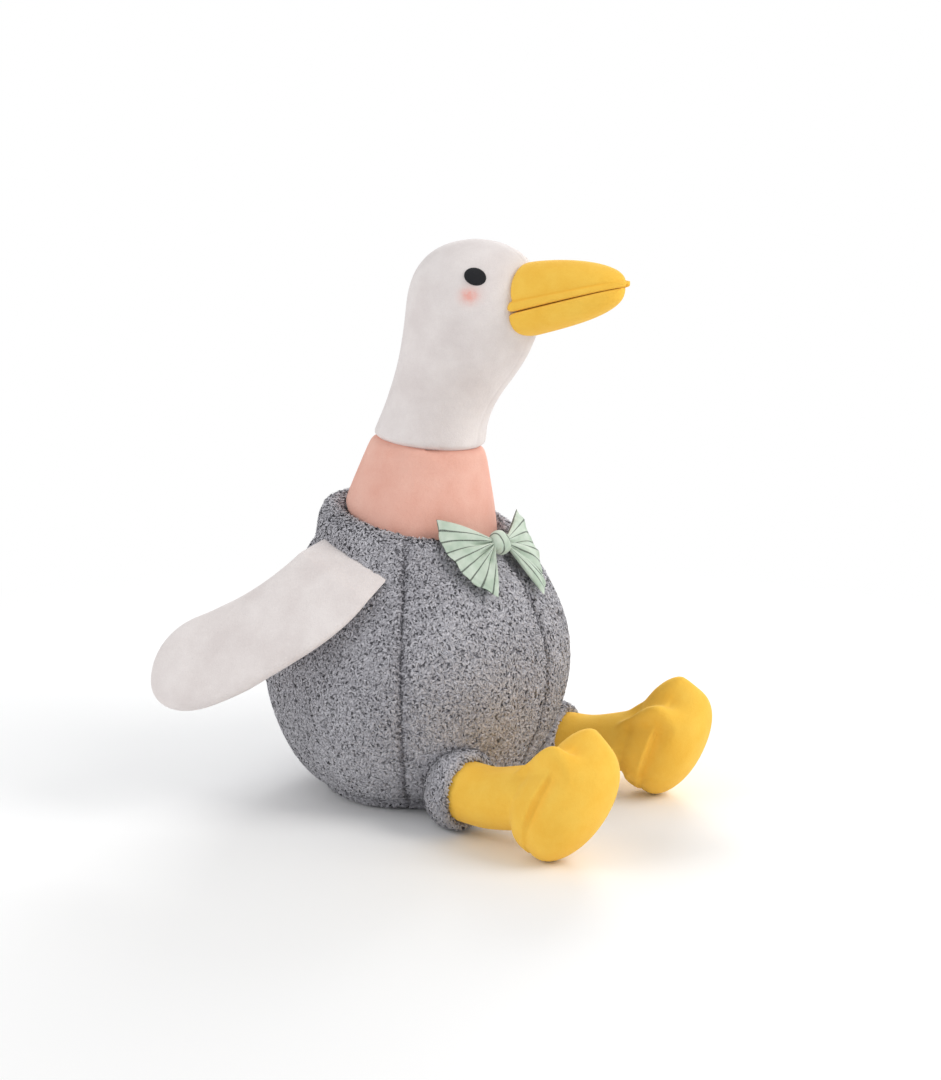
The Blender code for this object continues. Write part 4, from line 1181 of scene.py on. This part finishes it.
def face_at(across, height):
    """How far forward the face is at a place on it, a little inside its cloth."""
    side = across if abs(across) > 0.0008 else math.copysign(0.0008, across)
    hit = head_tree.ray_cast(Vector((side, -0.4, height)), Vector((0.0, 1.0, 0.0)))[0]
    return hit.y + 0.0008


def mouth_at(forward):
    """Height of the mouth line, which climbs toward the tip."""
    return MOUTH_HEIGHT + MOUTH_RISE * (FACE_FORWARD - forward) / BEAK_LENGTH


def upper_profile():
    """Side and lift of the upper beak: its flat mouth, the rolled lip, a crease and the dome."""
    right = [(0.25, 0.0, 0.0), (0.55, 0.0, 0.0), (0.88, 0.0, 0.0), (1.0, 0.03, 0.0)]
    right += [(1.03, 0.14, 0.0), (1.05, 0.34, 0.0), (1.05, 0.58, 0.0), (1.03, 0.80, 0.0)]
    right += [(0.99, 0.93, 0.0), (0.935, 1.0, 0.004), (0.965, 1.0, 0.05)]
    for angle in np.radians([9, 17, 26, 35, 44, 53, 62, 71, 80, 86]):
        right.append((math.cos(angle) ** 0.85, 1.0, math.sin(angle)))
    left = [(-side, lip, dome) for side, lip, dome in reversed(right)]
    return [(0.0, 0.0, 0.0), *right, (0.0, 1.0, 1.0), *left]


def lower_profile():
    right = [(0.3, 0.0), (0.6, 0.0), (0.9, 0.0), (0.985, -0.03), (0.998, -0.09)]
    for angle in np.radians([12, 22, 33, 44, 55, 66, 77]):
        right.append((math.cos(angle) ** 0.85, -math.sin(angle)))
    left = [(-side, drop) for side, drop in reversed(right)]
    return [(0.0, 0.0), *right, (0.0, -1.0), *left]


print("profile points:", len(upper_profile()), len(lower_profile()))

# %% Make the beak
def beak_row(profile, along, upper):
    """One ring of the beak. Along runs from the face at 0 to the tip at 1."""
    width = BEAK_HALF_WIDTH * rounded(along, 2.1)
    dome = rounded(along, 1.7 if upper else 2.8)
    tip = FACE_FORWARD - BEAK_LENGTH
    ring = []
    for point in profile:
        across = point[0] * width
        forward = FACE_FORWARD
        for _ in range(4):
            lip = LIP_TALL * (1.0 - 0.4 * (FACE_FORWARD - forward) / BEAK_LENGTH)
            if upper:
                height = mouth_at(forward) + lip * point[1] + (BEAK_DOME_HEIGHT - LIP_TALL) * point[2] * dome
            else:
                height = mouth_at(forward) - 0.0002 + BEAK_BOTTOM_DEPTH * point[1] * dome
            root = face_at(point[0] * BEAK_HALF_WIDTH, height) if along < 0.999 else FACE_FORWARD
            forward = blend(root, tip, along)
        on_lip = upper and point[1] > 0.1 and point[2] < 0.1
        nub = 0.0035 * max(0.0, (along - 0.86) / 0.14) ** 2 if on_lip else 0.0
        ring.append((across, forward - nub, height))
    return ring


for name, profile, upper in (
    ("beak_upper_bag", upper_profile(), True),
    ("beak_lower_bag", lower_profile(), False),
):
    shares = 1.0 - (1.0 - np.linspace(0.0, 1.0, 34)) ** 1.7
    beak = make_rings(name, [beak_row(profile, float(share) * 0.997, upper) for share in shares])
    smooth_bag(beak, 1, 0.4)
    rows = places(beak.data)
    lift = rows[:, 2] - (MOUTH_HEIGHT + MOUTH_RISE * (FACE_FORWARD - rows[:, 1]) / BEAK_LENGTH)
    lip = LIP_TALL * (1.0 - 0.4 * (FACE_FORWARD - rows[:, 1]) / BEAK_LENGTH)
    # Painted shade: a dark line in the crease above the lip and along the mouth line between the two halves.
    crease = np.exp(-(((lift - lip) / 0.0009) ** 2)) * 0.8 * upper
    mouth = np.exp(-((lift / 0.0008) ** 2)) * 0.9
    set_value(beak.data, "seam", np.maximum(crease, mouth))
    refine(beak)
    replaced = ["beak_upper", "beak_lip"] if upper else ["beak_lower"]
    settle(beak, yellow_pile, replaced)

# %% [markdown]
# ## The eyes
#
# Each eye is embroidered: black thread laid side by side across an oval, so it stands a little proud
# of the velvet and pulls it in round its edge. A small padded oval is laid on the head by finding
# the nearest place of the head for every point, and fine ridges in the material stand for the thread,
# with painted shade in the valleys between the threads.

# %% Give the thread its stitches
satin_stitch, start, end = new_group(
    "satin stitch",
    [("Colour", "Color", (0.02, 0.02, 0.02, 1.0)), ("Shade", "Color", (0.01, 0.01, 0.01, 1.0)),
     ("Thread", "Float", 0.0)],
    [("Colour", "Color"), ("Height", "Float"), ("Roughness", "Float")],
)
wave = add_math(satin_stitch, "SINE", start.outputs["Thread"], 0.0)
ridge = add_range(satin_stitch, wave, -1.0, 1.0)
place = satin_stitch.nodes.new("ShaderNodeTexCoord").outputs["Object"]
fuzz = add_noise(satin_stitch, place, 1800.0)
# Painted shade: each thread is dark in its valleys and lighter on its crest.
thread_colour_with_painted_shade = add_mix(satin_stitch, ridge, start.outputs["Shade"], start.outputs["Colour"])
height = add_math(satin_stitch, "ADD", ridge, add_math(satin_stitch, "MULTIPLY", fuzz, 0.3))
satin_stitch.links.new(thread_colour_with_painted_shade, end.inputs["Colour"])
satin_stitch.links.new(height, end.inputs["Height"])
satin_stitch.links.new(add_range(satin_stitch, fuzz, 0.3, 0.7, 0.42, 0.6), end.inputs["Roughness"])
eye_thread = finish_with(
    "black satin thread", satin_stitch,
    {"Colour": linear(52, 53, 57), "Shade": linear(24, 24, 27)}, 0.0002, {"Thread": "thread"}, 0.05,
)
print("thread material:", eye_thread.name)

# %% Make the eyes
EYE_HALF_WIDTH = 0.0068
EYE_HALF_HEIGHT = 0.0057
THREAD_PITCH = 0.00055
EYE_RINGS = (
    (1.04, -0.0006), (1.02, 0.0003), (0.97, 0.0008), (0.88, 0.0011),
    (0.7, 0.0013), (0.5, 0.0014), (0.3, 0.0015), (0.12, 0.0015),
)
head_surface = mesh_tree(head_cover.data)
for word, side in (("right", -1.0), ("left", 1.0)):
    centre, outward, _, _ = head_surface.find_nearest(eye_places[word])
    level = Vector((0.0, 0.0, 1.0)).cross(outward).normalized() * side
    upright = outward.cross(level).normalized() * side
    if upright.z < 0.0:
        upright = -upright
    rings = []
    for reach, lift in EYE_RINGS:
        ring = []
        for angle in np.linspace(0.0, math.tau, 64, endpoint=False):
            tilt = angle + 0.18
            place = centre + level * EYE_HALF_WIDTH * reach * math.cos(angle)
            place += upright * EYE_HALF_HEIGHT * reach * math.sin(tilt)
            found, facing, _, _ = head_surface.find_nearest(place)
            ring.append(found + facing * lift)
        rings.append(ring)
    eye = make_rings(f"eye_{word}_stitched", rings, False, True)
    rows = places(eye.data) - np.array(centre)
    across_threads = (rows @ np.array(level)) * 0.8 + (rows @ np.array(upright)) * 0.6
    set_value(eye.data, "thread", across_threads * math.tau / THREAD_PITCH)
    settle(eye, eye_thread, [f"eye_{word}"])

# %% [markdown]
# ## The bow
#
# The bow is a strip of pale cotton with thin dark stripes, gathered in the middle by a knot. Each
# half is a flat loop of two layers joined at its outer fold. The knot pinches it into tucks that run
# out from the middle and fade, so the cloth is a grid from the knot to the fold, raised and lowered
# by those tucks, and pushed out wherever the body would touch it.

# %% Weave the striped cotton
striped_weave, start, end = new_group(
    "striped weave",
    [("Colour", "Color", (0.6, 0.7, 0.6, 1.0)), ("Shade", "Color", (0.4, 0.5, 0.4, 1.0)),
     ("Stripe", "Color", (0.1, 0.1, 0.1, 1.0)), ("Place", "Float", 0.0), ("Edge", "Float", 0.0)],
    [("Colour", "Color"), ("Height", "Float"), ("Roughness", "Float")],
)
place = striped_weave.nodes.new("ShaderNodeTexCoord").outputs["Object"]
folds = add_noise(striped_weave, place, 90.0, 3.0, 0.5)
weave = add_noise(striped_weave, place, 2200.0, 2.0, 0.7)
wander = add_math(striped_weave, "MULTIPLY", add_math(striped_weave, "SUBTRACT", folds, 0.5), 0.12)
phase = add_math(striped_weave, "FRACT", add_math(striped_weave, "ADD", start.outputs["Place"], wander), 0.0)
off_line = add_math(striped_weave, "ABSOLUTE", add_math(striped_weave, "SUBTRACT", phase, 0.5), 0.0)
line = add_range(striped_weave, off_line, 0.05, 0.10, 1.0, 0.0)
line = add_math(striped_weave, "MULTIPLY", line, add_range(striped_weave, weave, 0.3, 0.6, 0.55, 0.95))
# Painted shade: the cloth is darkened toward Shade in soft patches that stand for the shade of its folds.
fold_shade_share = add_range(striped_weave, folds, 0.35, 0.65, 0.0, 0.6)
cloth = add_mix(striped_weave, fold_shade_share, start.outputs["Colour"], start.outputs["Shade"])
cloth = add_mix(striped_weave, line, cloth, start.outputs["Stripe"])
edge = add_math(striped_weave, "MULTIPLY", start.outputs["Edge"], 0.45)
striped_weave.links.new(add_mix(striped_weave, edge, cloth, start.outputs["Stripe"]), end.inputs["Colour"])
striped_weave.links.new(weave, end.inputs["Height"])
striped_weave.links.new(add_range(striped_weave, weave, 0.3, 0.7, 0.8, 0.95), end.inputs["Roughness"])
striped_cotton = finish_with(
    "mint striped cotton", striped_weave,
    {"Colour": linear(208, 220, 206), "Shade": linear(164, 186, 166), "Stripe": linear(74, 80, 74)},
    0.00025, {"Place": "stripe", "Edge": "edge"}, 0.1,
)
print("cotton material:", striped_cotton.name)

# %% Measure where the bow sits
BOW_TURN = math.radians(-8.0)
BOW_PITCH = math.radians(38.0)
BOW_ROLL = math.radians(-14.0)
BOW_LIFT = 0.0045
KNOT_HALF = Vector((0.0068, 0.0058, 0.0074))
outward = Vector((math.sin(BOW_TURN), -math.cos(BOW_TURN), 0.0))
bow_facing = outward * math.cos(BOW_PITCH) + Vector((0.0, 0.0, 1.0)) * math.sin(BOW_PITCH)
bow_rise = Vector((0.0, 0.0, 1.0)) * math.cos(BOW_PITCH) - outward * math.sin(BOW_PITCH)
turned = Matrix.Rotation(BOW_ROLL, 3, bow_facing)
bow_across = turned @ Vector((math.cos(BOW_TURN), math.sin(BOW_TURN), 0.0))
bow_rise = turned @ bow_rise
bow_middle = sum(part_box("bow_knot"), Vector()) * 0.5 + bow_rise * BOW_LIFT + bow_facing * 0.0015
below_bow = mesh_tree(body_bag.data)


def over_body(point, gap):
    """How far a point must move along the bow's facing to lie clear of the fleece."""
    start = point + bow_facing * 0.06
    hit = below_bow.ray_cast(start, -bow_facing, 0.12)[0]
    return 0.0 if hit is None else max(0.0, gap - (point - hit).dot(bow_facing))


print("bow at", tuple(round(value, 4) for value in bow_middle))

# %% Make the two fans
FAN_COLUMNS = 61
FAN_ROWS = 34
FAN_LENGTH = 0.0385


def fan_middle(side, middle_turn, spread, share, reach):
    """The middle of the cloth before its tucks. Share is -1 to 1 round the fan."""
    turn = middle_turn + spread * share
    out = FAN_LENGTH * reach * (1.0 - 0.10 * (1.0 - share * share))
    level = 0.0058 + out * math.cos(turn)
    high = (out + 0.0036) * math.sin(turn)
    return bow_middle + bow_across * side * level + bow_rise * high - bow_facing * level * level * 5.0


def fan_relief(share, reach, tucks, waves):
    """Height of the tucks: deep creases by the knot that fade toward the fold."""
    relief = 0.0
    for place, depth in tucks:
        width = 0.07 + 0.16 * reach
        fade = math.exp(-(((reach - 0.28) / 0.30) ** 2))
        relief -= depth * fade * math.exp(-(((share - place) / width) ** 2))
    relief += 0.0010 * math.sin(share * waves + 1.2) * (0.35 + 0.65 * reach)
    relief += 0.0006 * math.sin(share * waves * 2.3 + reach * 7.0) * reach
    crinkle = math.exp(-(((reach - 0.93) / 0.05) ** 2))
    return relief + 0.0005 * crinkle * math.sin(share * 34.0)


RIGHT_TUCKS = ((0.38, 0.0045), (-0.12, 0.0050), (-0.62, 0.0020))
LEFT_TUCKS = ((0.30, 0.0045), (-0.30, 0.0040))
for word, side, middle_turn, spread, tucks, waves in (
    ("right", -1.0, math.radians(-24.0), math.radians(50.0), RIGHT_TUCKS, 7.0),
    ("left", 1.0, math.radians(-4.0), math.radians(52.0), LEFT_TUCKS, 8.0),
):
    shares = np.linspace(-1.0, 1.0, FAN_COLUMNS)
    reaches = np.linspace(0.0, 1.0, FAN_ROWS)
    push = np.zeros((FAN_ROWS, FAN_COLUMNS))
    for row, reach in enumerate(reaches):
        for column, share in enumerate(shares):
            push[row, column] = over_body(fan_middle(side, middle_turn, spread, share, reach), 0.0034)
    for _ in range(12):
        wide = np.pad(push, 1, mode="edge")
        even = 0.25 * (wide[:-2, 1:-1] + wide[2:, 1:-1] + wide[1:-1, :-2] + wide[1:-1, 2:])
        push = np.maximum(push * 0.985, even)
    rings = []
    for row, reach in enumerate(reaches):
        layers = []
        for layer in (1.0, -1.0):
            puff = (0.0007 + 0.0016 * math.sin(math.pi * min(1.0, reach * 1.02)) ** 0.8) * (reach < 0.999)
            line = []
            for column, share in enumerate(shares):
                edge = rounded(share * 0.995, 3.0)
                point = fan_middle(side, middle_turn, spread, share, reach)
                relief = fan_relief(share, reach, tucks, waves) * (1.0 if layer > 0 else 0.4)
                raised = push[row, column] + relief
                line.append(point + bow_facing * (raised + 0.0024 + layer * puff * (0.25 + 0.75 * edge)))
            layers.append(line)
        rings.append(layers[0] + layers[1][::-1])
    fan = make_rings(f"bow_{word}_fan", rings, False, False)
    number = np.arange(len(fan.data.vertices))
    column = number % (2 * FAN_COLUMNS)
    column = np.where(column < FAN_COLUMNS, column, 2 * FAN_COLUMNS - 1 - column)
    reach = (number // (2 * FAN_COLUMNS)) / (FAN_ROWS - 1)
    set_value(fan.data, "stripe", shares[column] * 4.3 + 0.2)
    set_value(fan.data, "edge", np.exp(-(((reach - 0.925) / 0.010) ** 2)))
    builder = bmesh.new()
    builder.from_mesh(fan.data)
    bmesh.ops.remove_doubles(builder, verts=builder.verts, dist=0.00005)
    builder.to_mesh(fan.data)
    builder.free()
    refine(fan)
    fan.data.materials.append(striped_cotton)
    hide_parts(f"bow_{word}")
    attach(fan, "root")
    print(fan.name, "faces", len(fan.data.polygons))

# %% Wrap the knot
KNOT_ROWS = 25
KNOT_COLUMNS = 56
knot_rings = []
for level in np.linspace(-1.0, 1.0, KNOT_ROWS):
    girth = rounded(level * 0.97, 2.6)
    ring = []
    for angle in np.linspace(0.0, math.tau, KNOT_COLUMNS, endpoint=False):
        out = math.copysign(abs(math.cos(angle)) ** 0.85, math.cos(angle))
        high = math.copysign(abs(math.sin(angle)) ** 0.85, math.sin(angle))
        crease = 0.10 * math.exp(-(((level - 0.55 * math.sin(angle + 0.4)) / 0.16) ** 2))
        crease += 0.07 * math.exp(-(((level + 0.45 + 0.3 * math.sin(angle)) / 0.14) ** 2))
        scale = girth * (1.0 + 0.10 * (1.0 - level * level) - crease)
        point = bow_middle + bow_across * KNOT_HALF.x * level
        girdle = bow_facing * KNOT_HALF.y * out + bow_rise * KNOT_HALF.z * high
        ring.append(point + girdle * scale + bow_facing * 0.0024)
    knot_rings.append(ring)
knot = make_rings("bow_knot_wrap", knot_rings)
number = np.arange(len(knot.data.vertices))
around_share = (number % KNOT_COLUMNS) / KNOT_COLUMNS
level_share = np.minimum(number // KNOT_COLUMNS, KNOT_ROWS - 1) / (KNOT_ROWS - 1.0)
set_value(knot.data, "stripe", level_share * 2.0 + np.sin(around_share * math.tau) * 0.35)
set_value(knot.data, "edge", np.zeros(len(number)))
refine(knot)
knot.data.materials.append(striped_cotton)
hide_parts("bow_knot")
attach(knot, "root")
print("knot faces", len(knot.data.polygons))

# %% Print the sizes and finish
low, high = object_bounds()
print("visual box", tuple(low), tuple(high))
